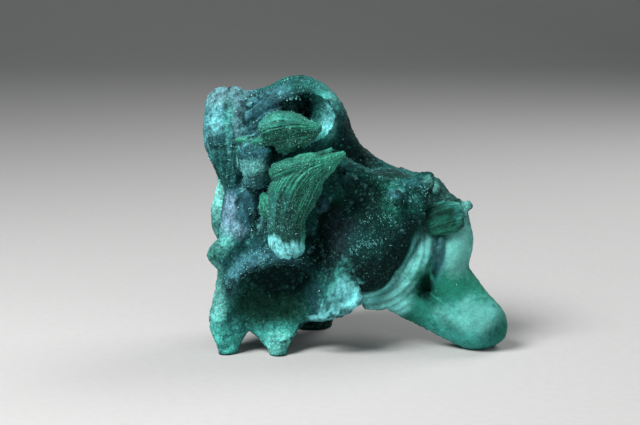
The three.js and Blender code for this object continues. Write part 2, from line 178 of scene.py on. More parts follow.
def blank_material(name: str) -> tuple[bpy.types.Material, bpy.types.NodeTree]:
    """Makes a material with an empty node tree.

    Args:
        name: The material's name.

    Returns:
        The material and its tree.
    """
    material = bpy.data.materials.new(name)
    material.use_nodes = True
    material.node_tree.nodes.clear()
    return material, material.node_tree


def flecked_tone(
    tree: bpy.types.NodeTree, shade: bpy.types.NodeSocket, speckle: bpy.types.NodeSocket, window: Triple
) -> bpy.types.NodeSocket:
    """Shades the painted tone and lays painted glints on it, as thickly as the glint says.

    Args:
        tree: The node tree.
        shade: What the tone is multiplied by.
        speckle: The noise whose peaks are the flecks.
        window: The noise where a fleck starts, where it is full, and how full that is.

    Returns:
        The colour.
    """
    start, full, most = window
    paint = add_node(tree, "Attribute", {"attribute_name": "tone"}).outputs["Color"]
    toned = add_node(tree, "VectorMath", {"operation": "SCALE"}, Vector=paint, Scale=shade)
    # painted glints: pale mint flecks where the noise peaks
    pick = add_node(tree, "MapRange", Value=speckle, From_Min=start, From_Max=full, To_Max=most)
    glint = add_node(tree, "Attribute", {"attribute_name": "glint"}).outputs["Fac"]
    amount = add_node(tree, "Math", {"operation": "MULTIPLY"}, input0=pick.outputs[0], input1=glint)
    colour = add_node(
        tree,
        "Mix",
        {"data_type": "RGBA"},
        input0=amount.outputs[0],
        input6=toned.outputs[0],
        input7=(*linear(Tone.MINT.value), 1),
    )
    return colour.outputs[2]


@dataclass(frozen=True)
class Gloss:
    """How a malachite surface throws light back."""

    ior: float
    specular: float
    specular_tint: str
    sheen_tint: str
    sheen_roughness: float
    sheen: float = 0.05  # the faint haze of fine fibres seen edge on

    def finish(
        self,
        tree: bpy.types.NodeTree,
        colour: bpy.types.NodeSocket,
        rough: bpy.types.NodeSocket,
        normal: bpy.types.NodeSocket,
    ) -> None:
        """Ends a material with a shader of this gloss.

        Args:
            tree: The material's node tree.
            colour: Its colour.
            rough: Its roughness.
            normal: Its bumped normal.
        """
        shader = add_node(
            tree,
            "BsdfPrincipled",
            Base_Color=colour,
            Roughness=rough,
            IOR=self.ior,
            Normal=normal,
            Sheen_Weight=self.sheen,
            Sheen_Roughness=self.sheen_roughness,
            Sheen_Tint=(*linear(self.sheen_tint), 1),
            Specular_IOR_Level=self.specular,
            Specular_Tint=(*linear(self.specular_tint), 1),
        )
        add_node(tree, "OutputMaterial", Surface=shader.outputs[0])


@dataclass(frozen=True)
class VelvetMalachite:
    """Malachite grown as a felt of micro-crystals: matt, dark, with a hazy bright rim."""

    grit_mm: float = 0.35  # size of the felt's tufts
    mottle_mm: float = 1.1  # size of its patches
    speck: float = 0.55  # size of a painted glint on a needle tip, as a share of a tuft's
    roughness: float = 0.82
    bump_mm: float = 0.12
    gloss: Gloss = Gloss(1.66, 0.16, "#8fe0d0", "#58b8a8", 0.45)  # a felt reflects little

    def material(self) -> bpy.types.Material:
        """Builds the material: painted tone, mottled, peppered with painted glints of needle tips.

        Returns:
            The material.
        """
        material, tree = blank_material("velvet_malachite")
        place = add_node(tree, "TexCoord").outputs["Object"]
        layers = (
            (self.grit_mm, 3.0, 0.65), (self.mottle_mm, 4.0, 0.7), (self.speck * self.grit_mm, 2.0, 0.5)
        )
        grit, mottle, specks = (
            add_node(
                tree, "TexNoise", Vector=place, Scale=1 / (size * MM), Detail=detail, Roughness=fineness
            ).outputs["Fac"]
            for size, detail, fineness in layers
        )
        spans = ((mottle, 0.34, 0.66, 0.55, 1.4), (grit, 0.36, 0.68, 0.5, 1.55))
        broad, fine = (
            add_node(
                tree, "MapRange", Value=value, From_Min=low, From_Max=high, To_Min=dark, To_Max=pale
            ).outputs[0]
            for value, low, high, dark, pale in spans
        )
        both = add_node(tree, "Math", {"operation": "MULTIPLY"}, input0=broad, input1=fine)
        grain = add_node(tree, "Attribute", {"attribute_name": "grain"})
        shade = add_node(
            tree,
            "Mix",
            {"data_type": "FLOAT"},
            input0=grain.outputs["Fac"],
            input2=1.0,
            input3=both.outputs[0],
        )
        colour = flecked_tone(tree, shade.outputs[0], specks, (0.62, 0.74, 1.0))
        bump = add_node(tree, "Bump", Height=grit, Strength=1.0, Distance=self.bump_mm * MM)
        rough = add_node(
            tree, "MapRange", Value=grit, To_Min=self.roughness + 0.12, To_Max=self.roughness - 0.16
        )
        self.gloss.finish(tree, colour, rough.outputs[0], bump.outputs[0])
        return material


@dataclass(frozen=True)
class SilkyMalachite:
    """Malachite in parallel fibres: a satin green whose streaks run along the fibres."""

    name: str = "silky_malachite"
    grain_mm: float = 0.5  # bundles of fibres, drawn coarser than real ones so that they show
    fleck_mm: float = 0.18  # size of a broken fibre end that catches the light
    grit: float = 0.35  # how much of the relief is grit across the fibres
    roughness: float = 0.55
    bump_mm: float = 0.06
    gloss: Gloss = Gloss(1.75, 0.25, "#9fe8c8", "#78d0a8", 0.4)  # malachite is 1.66 to 1.91

    def material(self) -> bpy.types.Material:
        """Builds the material: painted tone with streaks along the fibres.

        Returns:
            The material.
        """
        material, tree = blank_material(self.name)
        place = add_node(tree, "TexCoord").outputs["Object"]
        run = add_node(tree, "Attribute", {"attribute_name": "run"})
        streaks = add_node(
            tree,
            "TexNoise",
            Vector=run.outputs["Vector"],
            Scale=1 / self.grain_mm,
            Detail=3.0,
            Roughness=0.6,
        )
        flecks = add_node(
            tree, "TexNoise", Vector=place, Scale=1 / (self.fleck_mm * MM), Detail=2.0
        ).outputs["Fac"]
        height = add_node(
            tree,
            "Math",
            {"operation": "MULTIPLY_ADD"},
            input0=flecks,
            input1=self.grit,
            input2=streaks.outputs["Fac"],
        ).outputs[0]
        shade = add_node(
            tree, "MapRange", Value=height, From_Min=0.5, From_Max=0.86, To_Min=0.3, To_Max=1.8
        )
        colour = flecked_tone(tree, shade.outputs[0], flecks, (0.58, 0.66, 0.8))
        bump = add_node(tree, "Bump", Height=height, Strength=0.7, Distance=self.bump_mm * MM)
        rough = add_node(
            tree,
            "MapRange",
            Value=height,
            From_Min=0.4,
            From_Max=0.95,
            To_Min=self.roughness + 0.18,
            To_Max=self.roughness - 0.1,
        )
        self.gloss.finish(tree, colour, rough.outputs[0], bump.outputs[0])
        return material


@dataclass(frozen=True)
class DruseCrystal:
    """Bare malachite needles, smooth enough to flash pale green where they catch light."""

    roughness: float = 0.25
    ior: float = 1.8

    def material(self) -> bpy.types.Material:
        """Builds the material: jade to pale cyan, varied from needle to needle.

        Returns:
            The material.
        """
        material, tree = blank_material("druse_crystal")
        place = add_node(tree, "TexCoord").outputs["Object"]
        varied = add_node(tree, "TexNoise", Vector=place, Scale=1 / (2.0 * MM), Detail=2.0)
        colour = add_node(tree, "ValToRGB", Fac=varied.outputs["Fac"])
        ramp = colour.color_ramp
        ramp.elements[0].position = 0.35
        ramp.elements[0].color = (*linear(Tone.JADE.value), 1)
        ramp.elements[1].position = 0.65
        ramp.elements[1].color = (*linear(Tone.ICE.value), 1)
        rough = add_node(
            tree,
            "MapRange",
            Value=varied.outputs["Fac"],
            To_Min=self.roughness,
            To_Max=self.roughness + 0.25,
        )
        shader = add_node(
            tree,
            "BsdfPrincipled",
            Base_Color=colour.outputs["Color"],
            Roughness=rough.outputs[0],
            IOR=self.ior,
        )
        add_node(tree, "OutputMaterial", Surface=shader.outputs[0])
        return material


@dataclass(frozen=True)
class StudioPaper:
    """Pale matt backdrop paper."""

    colour: str = "#b9b9b8"
    fibre_mm: float = 1.5

    def material(self) -> bpy.types.Material:
        """Builds the material: a pale grey with a faint cloud in it.

        Returns:
            The material.
        """
        material, tree = blank_material("studio_paper")
        place = add_node(tree, "TexCoord").outputs["Object"]
        cloud = add_node(tree, "TexNoise", Vector=place, Scale=1 / (self.fibre_mm * MM), Detail=4.0)
        shade = add_node(tree, "MapRange", Value=cloud.outputs["Fac"], To_Min=0.94, To_Max=1.06)
        toned = add_node(
            tree,
            "VectorMath",
            {"operation": "SCALE"},
            input0=linear(self.colour),
            Scale=shade.outputs[0],
        )
        shader = add_node(tree, "BsdfPrincipled", Base_Color=toned.outputs[0], Roughness=0.85)
        add_node(tree, "OutputMaterial", Surface=shader.outputs[0])
        return material


# ------------------------------------------------------------------ growing a shape


def bent_line(points: tuple[tuple[float, ...], ...], steps: int = 4) -> Array:
    """Runs a smooth line through points.

    Args:
        points: The points, each a position and any sizes that vary along the line.
        steps: Straight stretches between two points.

    Returns:
        The line's points, one a row.
    """
    given = np.array(points, float)
    if len(given) == 2:
        return given
    padded = np.vstack([2 * given[0] - given[1], given, 2 * given[-1] - given[-2]])
    line = []
    for a, b, c, d in zip(padded, padded[1:], padded[2:], padded[3:]):
        for t in np.arange(steps) / steps:
            cubic = (3 * b - a - 3 * c + d) * t**3
            line.append(0.5 * (2 * b + (c - a) * t + (2 * a - 5 * b + 4 * c - d) * t**2 + cubic))
    return np.array([*line, given[-1]])


@dataclass(frozen=True)
class Lump:
    """A rounded lump of the mass, or a hollow scooped out of it. Sizes in mm."""

    centre: Triple
    radii: Triple
    blend: float = 1.0
    turn: Triple = (0.0, 0.0, 0.0)
    scoop: bool = False

    def reach(self) -> tuple[Array, Array]:
        """Gives the corners of the box that the lump changes."""
        size = max(self.radii) + self.blend + 2.5
        return np.array(self.centre) - size, np.array(self.centre) + size

    def distance(self, x: Array, y: Array, z: Array) -> Array:
        """Measures how far places are outside the lump.

        Args:
            x: The places' x.
            y: Their y.
            z: Their z.

        Returns:
            Distances in mm, negative inside.
        """
        x, y, z = x - self.centre[0], y - self.centre[1], z - self.centre[2]
        about_x, about_y, about_z = (math.radians(-t) for t in self.turn)
        x, y = (
            math.cos(about_z) * x - math.sin(about_z) * y, math.sin(about_z) * x + math.cos(about_z) * y
        )
        x, z = (
            math.cos(about_y) * x + math.sin(about_y) * z, math.cos(about_y) * z - math.sin(about_y) * x
        )
        y, z = (
            math.cos(about_x) * y - math.sin(about_x) * z, math.sin(about_x) * y + math.cos(about_x) * z
        )
        a, b, c = self.radii
        unit = np.sqrt((x / a) ** 2 + (y / b) ** 2 + (z / c) ** 2)
        slope = np.sqrt((x / a**2) ** 2 + (y / b**2) ** 2 + (z / c**2) ** 2) + 1e-6
        return unit * (unit - 1) / slope


@dataclass(frozen=True)
class Limb:
    """A bent limb of the mass through (x, y, z, radius), or a groove in it. In mm."""

    points: tuple[Quad, ...]
    blend: float = 1.0
    scoop: bool = False

    def reach(self) -> tuple[Array, Array]:
        """Finds the box that the limb changes.

        Returns:
            Its lowest and highest corners.
        """
        line = bent_line(self.points)
        size = line[:, 3].max() + self.blend + 2.5
        return line[:, :3].min(0) - size, line[:, :3].max(0) + size

    def distance(self, x: Array, y: Array, z: Array) -> Array:
        """Measures how far places are outside the limb.

        Args:
            x: The places' x.
            y: Their y.
            z: Their z.

        Returns:
            Distances in mm, negative inside.
        """
        line = bent_line(self.points)
        nearest = np.full(x.shape, np.inf, np.float32)
        for start, end in zip(line, line[1:]):
            along = end - start
            square = float(along[:3] @ along[:3]) + 1e-9
            dx, dy, dz = x - start[0], y - start[1], z - start[2]
            t = np.clip((dx * along[0] + dy * along[1] + dz * along[2]) / square, 0, 1)
            gap = np.sqrt(
                (dx - t * along[0]) ** 2 + (dy - t * along[1]) ** 2 + (dz - t * along[2]) ** 2
            )
            np.minimum(nearest, gap - (start[3] + t * along[3]), out=nearest)
        return nearest


class GrownField:
    """A grown shape as distances on a grid, in mm, negative inside it."""

    FAR = 4.0

    def __init__(self, low: Triple, high: Triple, step: float) -> None:
        """Starts an empty field.

        Args:
            low: The grid's lowest corner.
            high: Its highest corner.
            step: The distance between its points.
        """
        self.low = np.array(low)
        self.step = step
        self.count = np.ceil((np.array(high) - self.low) / step).astype(int) + 1
        axes = [
            (start + step * np.arange(n)).astype(np.float32) for start, n in zip(self.low, self.count)
        ]
        x, y, z = np.meshgrid(*axes, indexing="ij")
        self.height = z
        self.distance = np.full(self.count, self.FAR, np.float32)
        self.x = x + 0.35 * np.sin(0.42 * y + 0.31 * z + 1.0)
        self.y = y + 0.35 * np.sin(0.45 * x - 0.37 * z + 0.5)
        self.z = z + 0.30 * np.sin(0.48 * x + 0.32 * y + 2.2)

    def add(self, feature: Lump | Limb) -> None:
        """Runs a feature into the shape, or scoops it out.

        Args:
            feature: The lump, limb or hollow.
        """
        low, high = feature.reach()
        start = np.maximum(np.floor((low - self.low) / self.step), 0).astype(int)
        stop = np.minimum(np.ceil((high - self.low) / self.step) + 1, self.count).astype(int)
        block = tuple(slice(a, b) for a, b in zip(start, stop))
        old = self.distance[block]
        new = feature.distance(self.x[block], self.y[block], self.z[block])
        if feature.scoop:
            new = -new
        fillet = np.maximum(feature.blend - np.abs(old - new), 0) ** 2 / (4 * feature.blend)
        if feature.scoop:
            self.distance[block] = np.maximum(old, new) + fillet
        else:
            self.distance[block] = np.minimum(old, new) - fillet

    def flatten_base(self) -> None:
        """Cuts the shape flat at the height that it stands on."""
        self.distance = np.maximum(self.distance, -self.height)

    def surface(self) -> tuple[Array, Array]:
        """Meshes the shape.

        Returns:
            The points in mm and the four-cornered faces.
        """
        grid = openvdb.FloatGrid()
        grid.background = self.FAR
        grid.copyFromArray(self.distance)
        points, _, quads = grid.convertToPolygons(0.0, 0.0)
        return np.array(points) * self.step + self.low, np.array(quads)[:, ::-1]


class Skin:
    """The points of a grown surface, to be roughened and painted. In mm."""

    def __init__(self, points: Array, quads: Array) -> None:
        """Takes a closed surface.

        Args:
            points: Its points.
            quads: Its four-cornered faces.
        """
        self.points = points.astype(float)
        self.quads = quads
        edges = np.vstack([quads[:, [i, (i + 1) % 4]] for i in range(4)])
        self.edges = np.unique(np.sort(edges, axis=1), axis=0)
        self.tones = np.zeros((len(points), 3))
        self.glints = np.zeros(len(points))
        self.grains = np.ones(len(points))

    def normals(self) -> Array:
        """Works out the surface's direction.

        Returns:
            The outward direction at each point.
        """
        a, b, c, d = (self.points[self.quads[:, i]] for i in range(4))
        facing = np.cross(c - a, d - b)
        total = np.zeros_like(self.points)
        for corner in range(4):
            for axis in range(3):
                total[:, axis] += np.bincount(self.quads[:, corner], facing[:, axis], len(self.points))
        return total / (np.linalg.norm(total, axis=1)[:, None] + 1e-12)

    def spread(self, values: Array, passes: int) -> Array:
        """Averages values with those of their neighbours.

        Args:
            values: One row for each point.
            passes: How many times over.

        Returns:
            The smoothed values.
        """
        a, b = self.edges.T
        ways = np.bincount(a, minlength=len(values)) + np.bincount(b, minlength=len(values))
        columns = values.reshape(len(values), -1).astype(float)
        for _ in range(passes):
            sums = [
                column + np.bincount(a, column[b], len(column)) + np.bincount(b, column[a], len(column))
                for column in columns.T
            ]
            columns = np.column_stack([total / (ways + 1) for total in sums])
        return columns.reshape(values.shape)

    def convexity(self, passes: int) -> Array:
        """Measures how far each point stands out of its surroundings, in mm."""
        return ((self.points - self.spread(self.points, passes)) * self.normals()).sum(1)

    def clouds(self, size: float, octaves: int = 3, seed: float = 0.0) -> Array:
        """Samples soft noise at each point.

        Args:
            size: The noise's grain in mm.
            octaves: How many finer layers it has.
            seed: An offset that gives another noise.

        Returns:
            Values of about -1 to 1.
        """
        places = (self.points + seed * 17.3) / size
        return np.array([noise.fractal(p, 1.0, 2.0, octaves) for p in places])

    def cobbles(self, size: float, seed: float = 0.0) -> Array:
        """Samples rounded knobs.

        Args:
            size: How far apart they are, in mm.
            seed: An offset that gives other knobs.

        Returns:
            1 on a knob's top, falling to 0 between knobs.
        """
        places = (self.points + seed * 11.7) / size
        near = np.array([noise.voronoi(p)[0][0] for p in places])
        hollow = 0.75  # how far from a knob's middle the dip between knobs is, as a share of size
        return 1 - np.clip(near / hollow, 0, 1) ** 2

    def streaks(self, across: float, along: float, seed: float = 0.0) -> Array:
        """Samples noise drawn out up and down.

        Args:
            across: Its grain across, in mm.
            along: Its grain up and down, in mm.
            seed: An offset that gives another noise.

        Returns:
            Values of about -1 to 1.
        """
        places = (self.points + seed * 13.1) / np.array([across, across, along])
        return np.array([noise.fractal(p, 1.0, 2.0, 3) for p in places])

    def near(self, limb: Limb, reach: float) -> Array:
        """Marks what lies within a reach in mm of a limb's own surface."""
        x, y, z = self.points.T
        return step_up(reach, 0.0, limb.distance(x, y, z))

    def patch(self, centre: Triple, radii: Triple, soft: float = 0.4, ragged: float = 0.2) -> Array:
        """Marks a soft-edged patch of the surface.

        Args:
            centre: Its middle.
            radii: Its half sizes.
            soft: The width of its edge, as a share of its size.
            ragged: How far the edge wanders, as a share of its size.

        Returns:
            1 inside the patch, falling to 0 outside it.
        """
        offset = (self.points - np.array(centre)) / np.array(radii)
        reach = np.sqrt((offset**2).sum(1)) + ragged * self.wander
        return step_up(1 + soft, 1 - soft, reach)

    def push(self, amount: Array) -> None:
        """Moves each point outwards by an amount in mm."""
        self.points += self.normals() * amount[:, None]

    def paint(self, tone: Tone, mask: Array | float) -> None:
        """Lays a tone where the mask is 1."""
        share = np.clip(mask, 0, 1) * np.ones(len(self.points))
        self.tones += (np.array(linear(tone.value)) - self.tones) * share[:, None]

    def scale_tone(self, factor: Array) -> None:
        """Makes the tones lighter or darker by a factor."""
        self.tones *= factor[:, None]

    @cached_property
    def wander(self) -> Array:
        """Gives the noise that makes the edges of patches ragged, made once."""
        return self.clouds(2.6, 3, 5.0) + 0.6 * self.clouds(0.8, 2, 6.0)

    def make_object(self, name: str, shift: Array) -> bpy.types.Object:
        """Makes the surface into an object in the CAD frame.

        Args:
            name: The object's name.
            shift: What moves the maker's frame into the CAD frame, in mm.

        Returns:
            The new object.
        """
        mesh = new_mesh(name, ((self.points + shift) * MM).tolist(), self.quads.tolist())
        mesh.polygons.foreach_set("use_smooth", np.ones(len(mesh.polygons), bool))
        tone = mesh.attributes.new("tone", "FLOAT_COLOR", "POINT")
        rgba = np.column_stack([np.clip(self.tones, 0, 1), np.ones(len(self.points))])
        tone.data.foreach_set("color", rgba.ravel())
        for label, values in (("glint", self.glints), ("grain", self.grains)):
            layer = mesh.attributes.new(label, "FLOAT", "POINT")
            layer.data.foreach_set("value", np.clip(values, 0, 1))
        return new_object(name, mesh)


def step_up(low: float, high: float, value: Array) -> Array:
    """Rises smoothly from 0 at low to 1 at high."""
    t = np.clip((value - low) / (high - low), 0, 1)
    return t * t * (3 - 2 * t)


@dataclass(frozen=True)
class Patch:
    """A patch of tone on the mass. Sizes in mm."""

    tone: Tone
    centre: Triple
    radii: Triple
    strength: float = 1.0
    soft: float = 0.4
    ragged: float = 0.25


@dataclass(frozen=True)
class Bed:
    """A place where needles stand thickly. Sizes in mm."""

    centre: Triple
    radii: Triple
    share: float
    soft: float = 0.6
    ragged: float = 0.6


# ------------------------------------------------------------------ parts of the mass


@dataclass
class GrownPart:
    """A part of the mass: what it is grown from and how it is toned."""

    def features(self) -> list[Lump | Limb]:
        """Lists the part's lumps, limbs and hollows in the order that they grow."""
        return []

    def patches(self) -> list[Patch]:
        """Lists the part's patches of tone in the order that they are laid."""
        return []

    def grow(self, rock: GrownField) -> None:
        """Adds the part to the mass."""
        for feature in self.features():
            rock.add(feature)

    def dress(self, skin: Skin) -> None:
        """Lays the part's tones.

        Args:
            skin: The skin of the mass.
        """
        for spot in self.patches():
            mask = skin.patch(spot.centre, spot.radii, spot.soft, spot.ragged)
            skin.paint(spot.tone, spot.strength * mask)


@dataclass
class Bulk(GrownPart):
    """The bulk behind the front features."""

    depth: float = 7.5

    def features(self) -> list[Lump | Limb]:
        """Lists three broad lumps: lower left, head and right."""
        return [
            Lump((-5, 4, 22), (11, self.depth, 13), 3),
            Lump((-12, 2.5, 33.5), (9, self.depth - 1, self.depth), 3),
            Lump((7, 3.5, 21.5), (9.5, self.depth - 1, self.depth), 3),
        ]


@dataclass
class Back(GrownPart):
    """The back: two legs that prop the specimen up, and rounded knobs over the rest."""

    leg_radius: float = 3.1

    def features(self) -> list[Lump | Limb]:
        """Lists the legs and the knobs."""
        return [
            Limb(((-5, 4, 13, 6), (-6.4, 7.5, 7, 4.6), (-7.4, 9.2, -0.4, self.leg_radius)), 2),
            Limb(((-12, 5.5, 13, 4.5), (-12, 8, 7, 3.2), (-10.4, 9, 2.6, 2)), 0.8),
            Lump((5.5, 6.6, 23), (7.4, 5.6, 6), 0.7, (0, 25, 0)),
            Lump((-13, 6.6, 28), (6.8, 5, 6.4), 0.7, (0, 20, 0)),
            Lump((-15, 4.8, 18.4), (6, 5, 7), 0.7, (0, -15, 0)),
            Lump((9, 4.5, 14.5), (5.4, 4.8, 5), 0.7),
            Lump((-3.6, 6.6, 31.4), (4.4, 3.8, 5.4), 0.6, (0, -30, 0)),
            Lump((-15.5, 3.6, 36.6), (4.8, 3.6, 4), 0.6, (0, 30, 0)),
            Lump((-2, 9.4, 17.4), (4.6, 3, 3.4), 0.5, (0, 20, 0)),
            Lump((12.6, 4.4, 21.4), (3, 2.8, 3), 0.5),
            Lump((-4.5, 14.6, 25.2), (4.6, 3.4, 3.6), 0.6, (0, 12, 0), scoop=True),
        ]

    def patches(self) -> list[Patch]:
        """Lists teal with greener knobs above, and painted shade low down and in the hollow."""
        return [
            Patch(Tone.TEAL, (0, 12, 24), (26, 8, 26), 0.8, 0.3),
            Patch(Tone.BOTTLE, (4, 12, 20), (10, 8, 9), 0.7),
            Patch(Tone.STEEL, (-16, 10, 34), (8, 7, 8), 0.5),
            Patch(Tone.JADE, (-15, 9, 19), (6, 5, 6), 0.45),
            Patch(Tone.JADE, (7, 12, 25), (5, 5, 3.6), 0.4, 0.6, 0.7),
            Patch(Tone.STEEL, (-14, 11, 29), (4, 4, 3.4), 0.3, 0.9, 1.0),
            Patch(Tone.JADE, (-2, 12, 16.6), (3.4, 3, 2), 0.45, 0.6, 0.6),
            # painted shade in the scooped hollow
            Patch(Tone.PITCH, (-4.5, 12, 25), (3.6, 4, 3), 0.6, 0.6),
            # painted shade low down, under the back
            Patch(Tone.NIGHT, (-8, 8, 3), (8, 7, 8), 0.95),
        ]


@dataclass
class Collar(GrownPart):
    """The banded layer of malachite that the dark nodule sits in."""

    centre: Triple = (3.2, 0.8, 16.6)
    radii: Triple = (11.3, 6.6, 10.4)

    def features(self) -> list[Lump | Limb]:
        """Lists the layer's one lump."""
        return [Lump(self.centre, self.radii, 1.2, (0, 20, 0))]


@dataclass
class Hood(GrownPart):
    """The hood at the top: its crown, its dark mouth and the pale wall at its right."""

    crown: Lump = Lump((-8.8, 0.2, 37.6), (7.6, 7.6, 6.6), 1.5, (0, 12, 0))
    wall: Limb = Limb(
        (
            (-17.2, -1, 40, 2.2),
            (-13, 0.2, 41.2, 2.2),
            (-9, 0.6, 42.2, 2.1),
            (-5.4, -0.3, 40.8, 2),
            (-3.3, -1.2, 37.8, 2),
            (-2.3, 0, 34.4, 2.2),
            (0.2, 0.8, 30.8, 2),
        ),
        1.5,
    )
    mouth: Lump = Lump((-8.2, -10.4, 38), (5.6, 8.6, 4.8), 0.5, (6, 14, 0), scoop=True)
    throat: Lump = Lump((-9.6, -6, 38.8), (3, 6.4, 3.2), 0.8, (0, 10, 0), scoop=True)

    def features(self) -> list[Lump | Limb]:
        """Lists the crown, the wall, the mouth and the throat."""
        return [self.crown, self.wall, self.mouth, self.throat]

    def patches(self) -> list[Patch]:
        """Lists painted shade in the mouth, a painted highlight on the pale right wall, the dark slope."""
        return [
            Patch(Tone.TEAL, (-9, -1, 43), (7, 6, 3.4), 0.9),
            Patch(Tone.NIGHT, (0.8, 0, 34.5), (4.6, 7, 6), 0.9),
            # painted shade in the scooped mouth behind the upper fan
            Patch(Tone.PITCH, (-8.6, -3, 38), (4.2, 6, 4.6), 0.95, 0.3),
            Patch(Tone.JADE, (-4.8, -3.4, 39), (2.2, 4.5, 4.4), 0.8, 0.4),
            # painted highlight on the wall's inner face, which faces the light
            Patch(Tone.ICE, (-4.3, -3.4, 38.4), (1.2, 4.5, 3), 0.7, 0.5, 0.35),
        ]


@dataclass
class Brow(GrownPart):
    """Two rounded blue-grey ridges side by side at the upper left."""

    outer: Limb = Limb(
        ((-21.8, -0.8, 40.2, 2.7), (-22.4, -3, 36.6, 3), (-21, -3.6, 31.5, 2.6), (-19.6, -3, 27, 2)),
        0.6,
    )
    inner: Limb = Limb(((-19.4, -1.4, 41, 2), (-19.2, -4.4, 36.6, 2.4), (-18.4, -5, 31, 2.2)), 0.4)

    def features(self) -> list[Lump | Limb]:
        """Lists the two ridges."""
        return [self.outer, self.inner]

    def patches(self) -> list[Patch]:
        """Lists grey-blue flanks with painted highlights on the top and left rim, teal lower down."""
        return [
            Patch(Tone.STEEL, (-21, -3, 38), (5, 7, 6.5), 0.9),
            # painted highlight on the left rim
            Patch(Tone.ICE, (-24.4, -2, 38), (1.4, 5, 5), 0.15),
            # painted highlight on the top of the ridges
            Patch(Tone.HIGHLIGHT_BLUE, (-21.2, -2, 42), (3.6, 5, 2.2), 0.85, 0.5),
            Patch(Tone.ICE, (-22.6, -6, 38), (1, 4, 2.4), 0.4, 0.6, 0.5),
            # painted highlight on the inner ridge
            Patch(Tone.HIGHLIGHT_BLUE, (-18.6, -6, 37.6), (1.3, 4, 3.4), 0.6, 0.6, 0.5),
            Patch(Tone.GREEN, (-20.6, -5, 38), (0.8, 4, 4), 0.6, 0.8),
            Patch(Tone.TEAL, (-20.4, -5, 32), (3.4, 5, 3.6), 0.7),
        ]

    def dress(self, skin: Skin) -> None:
        """Tones the ridges and draws their fine pleats, with painted shade and highlight on them.

        Args:
            skin: The skin of the mass.
        """
        super().dress(skin)
        zone = skin.patch((-20.6, -4, 36), (5, 6, 9), 0.3)
        pleats = skin.streaks(0.75, 5.0, 2.0)
        skin.push(0.18 * zone * pleats)
        # painted shade and highlight: darker in the pleats' grooves, lighter on their crests
        skin.scale_tone(1 + 0.5 * zone * pleats)


@dataclass
class Folds(GrownPart):
    """Worm-like folds beside the mouth of the hood, and the rough lump below them."""

    fold_radius: float = 1.15

    def worms(self) -> list[Limb]:
        """Lists the folds.

        Returns:
            The four folds, from the lowest up.
        """
        r = self.fold_radius
        ends = (
            (-10.8, -6.6, 39.2, 0.8), (-9.8, -4.6, 41, 1), (-9, -2.6, 42.4, 0.8), (-8, -1.2, 43.2, 0.8)
        )
        starts = (
            ((-17.2, -7.2, 34.2, r), (-14.9, -8.8, 36, r), (-12.2, -8.4, 38, r)),
            ((-17, -6.2, 36.2, r), (-14.9, -7.7, 38, r), (-12, -6.9, 39.8, r)),
            ((-17.4, -4.8, 38, 1), (-15.4, -6.2, 39.8, 1.1), (-12.6, -5, 41.4, 1)),
            ((-17.2, -3, 39.8, 1), (-14.4, -3.6, 41.4, 1), (-11.4, -2.2, 42.8, 0.9)),
        )
        lines = [(*start, end) for start, end in zip(starts, ends)]
        return [Limb(line, 0.15) for line in lines]

    def grooves(self) -> list[Limb]:
        """Lists the grooves halfway between the three lower folds.

        Returns:
            The grooves, from the lowest up.
        """
        lines = [np.array(worm.points) for worm in self.worms()[:-1]]
        middles = [(upper + lower) / 2 for upper, lower in zip(lines, lines[1:])]
        out, radius = 1.0, 0.68
        return [
            Limb(tuple((x, y - out, z, radius) for x, y, z, _ in middle[:-1]), 0.2, scoop=True)
            for middle in middles
        ]

    def features(self) -> list[Lump | Limb]:
        """Lists the folds, then the lump and its foot."""
        return [
            *self.worms(),
            *self.grooves(),
            Lump((-9.8, -7.8, 39.9), (2.6, 4.2, 1.8), 0.5, (0, 14, 0), scoop=True),
            Lump((-16, -7.6, 31.2), (2.8, 3, 3.6), 0.5),
            Lump((-14.4, -9.2, 33), (1.5, 1.5, 1.6), 0.3),
            Lump((-17.2, -8.8, 32.2), (1.5, 1.6, 1.9), 0.3),
            Lump((-15.6, -9.6, 30.2), (1.6, 1.4, 1.6), 0.3),
            Limb(((-14.5, -8.2, 28.6, 1.6), (-16.8, -7.6, 28, 1.6)), 0.5),
        ]

    def patches(self) -> list[Patch]:
        """Lists dark folds with worn blue crests, painted shade behind the fan, the grey-blue lump."""
        return [
            Patch(Tone.SLATE, (-14, -6, 39), (4.6, 6, 4.4), 0.9),
            # painted shade in the gap behind the upper fan
            Patch(Tone.NIGHT, (-12.4, -7, 39.4), (2.4, 6, 2.4), 0.7),
            Patch(Tone.SLATE, (-16, -9, 31.4), (3.2, 4, 3.4), 0.85),
            Patch(Tone.MINT, (-17, -10, 29.8), (2, 3, 1.8), 0.55, 0.6, 0.6),
            Patch(Tone.SLATE, (-15.8, -9, 28.4), (2.6, 3, 1.6), 0.6),
        ]

    def dress(self, skin: Skin) -> None:
        """Tones the folds, wears their crests pale and paints shade in the grooves and throat.

        Args:
            skin: The skin of the mass.
        """
        super().dress(skin)
        crest = np.max([skin.near(worm, 0.45) for worm in self.worms()], axis=0)
        left = step_up(-10.0, -12.6, skin.points[:, 0])
        zone = skin.patch((-14, -6, 39), (4.6, 6, 3.8), 0.3)
        skin.paint(Tone.STEEL, 0.75 * left * crest)
        # painted shade in the grooves between the folds
        skin.paint(Tone.PITCH, 0.85 * zone * (1 - crest))
        # painted shade in the throat behind the upper fan
        skin.paint(Tone.PITCH, 0.9 * skin.patch((-9.2, -5.4, 40), (3.2, 4, 2.2), 0.35))


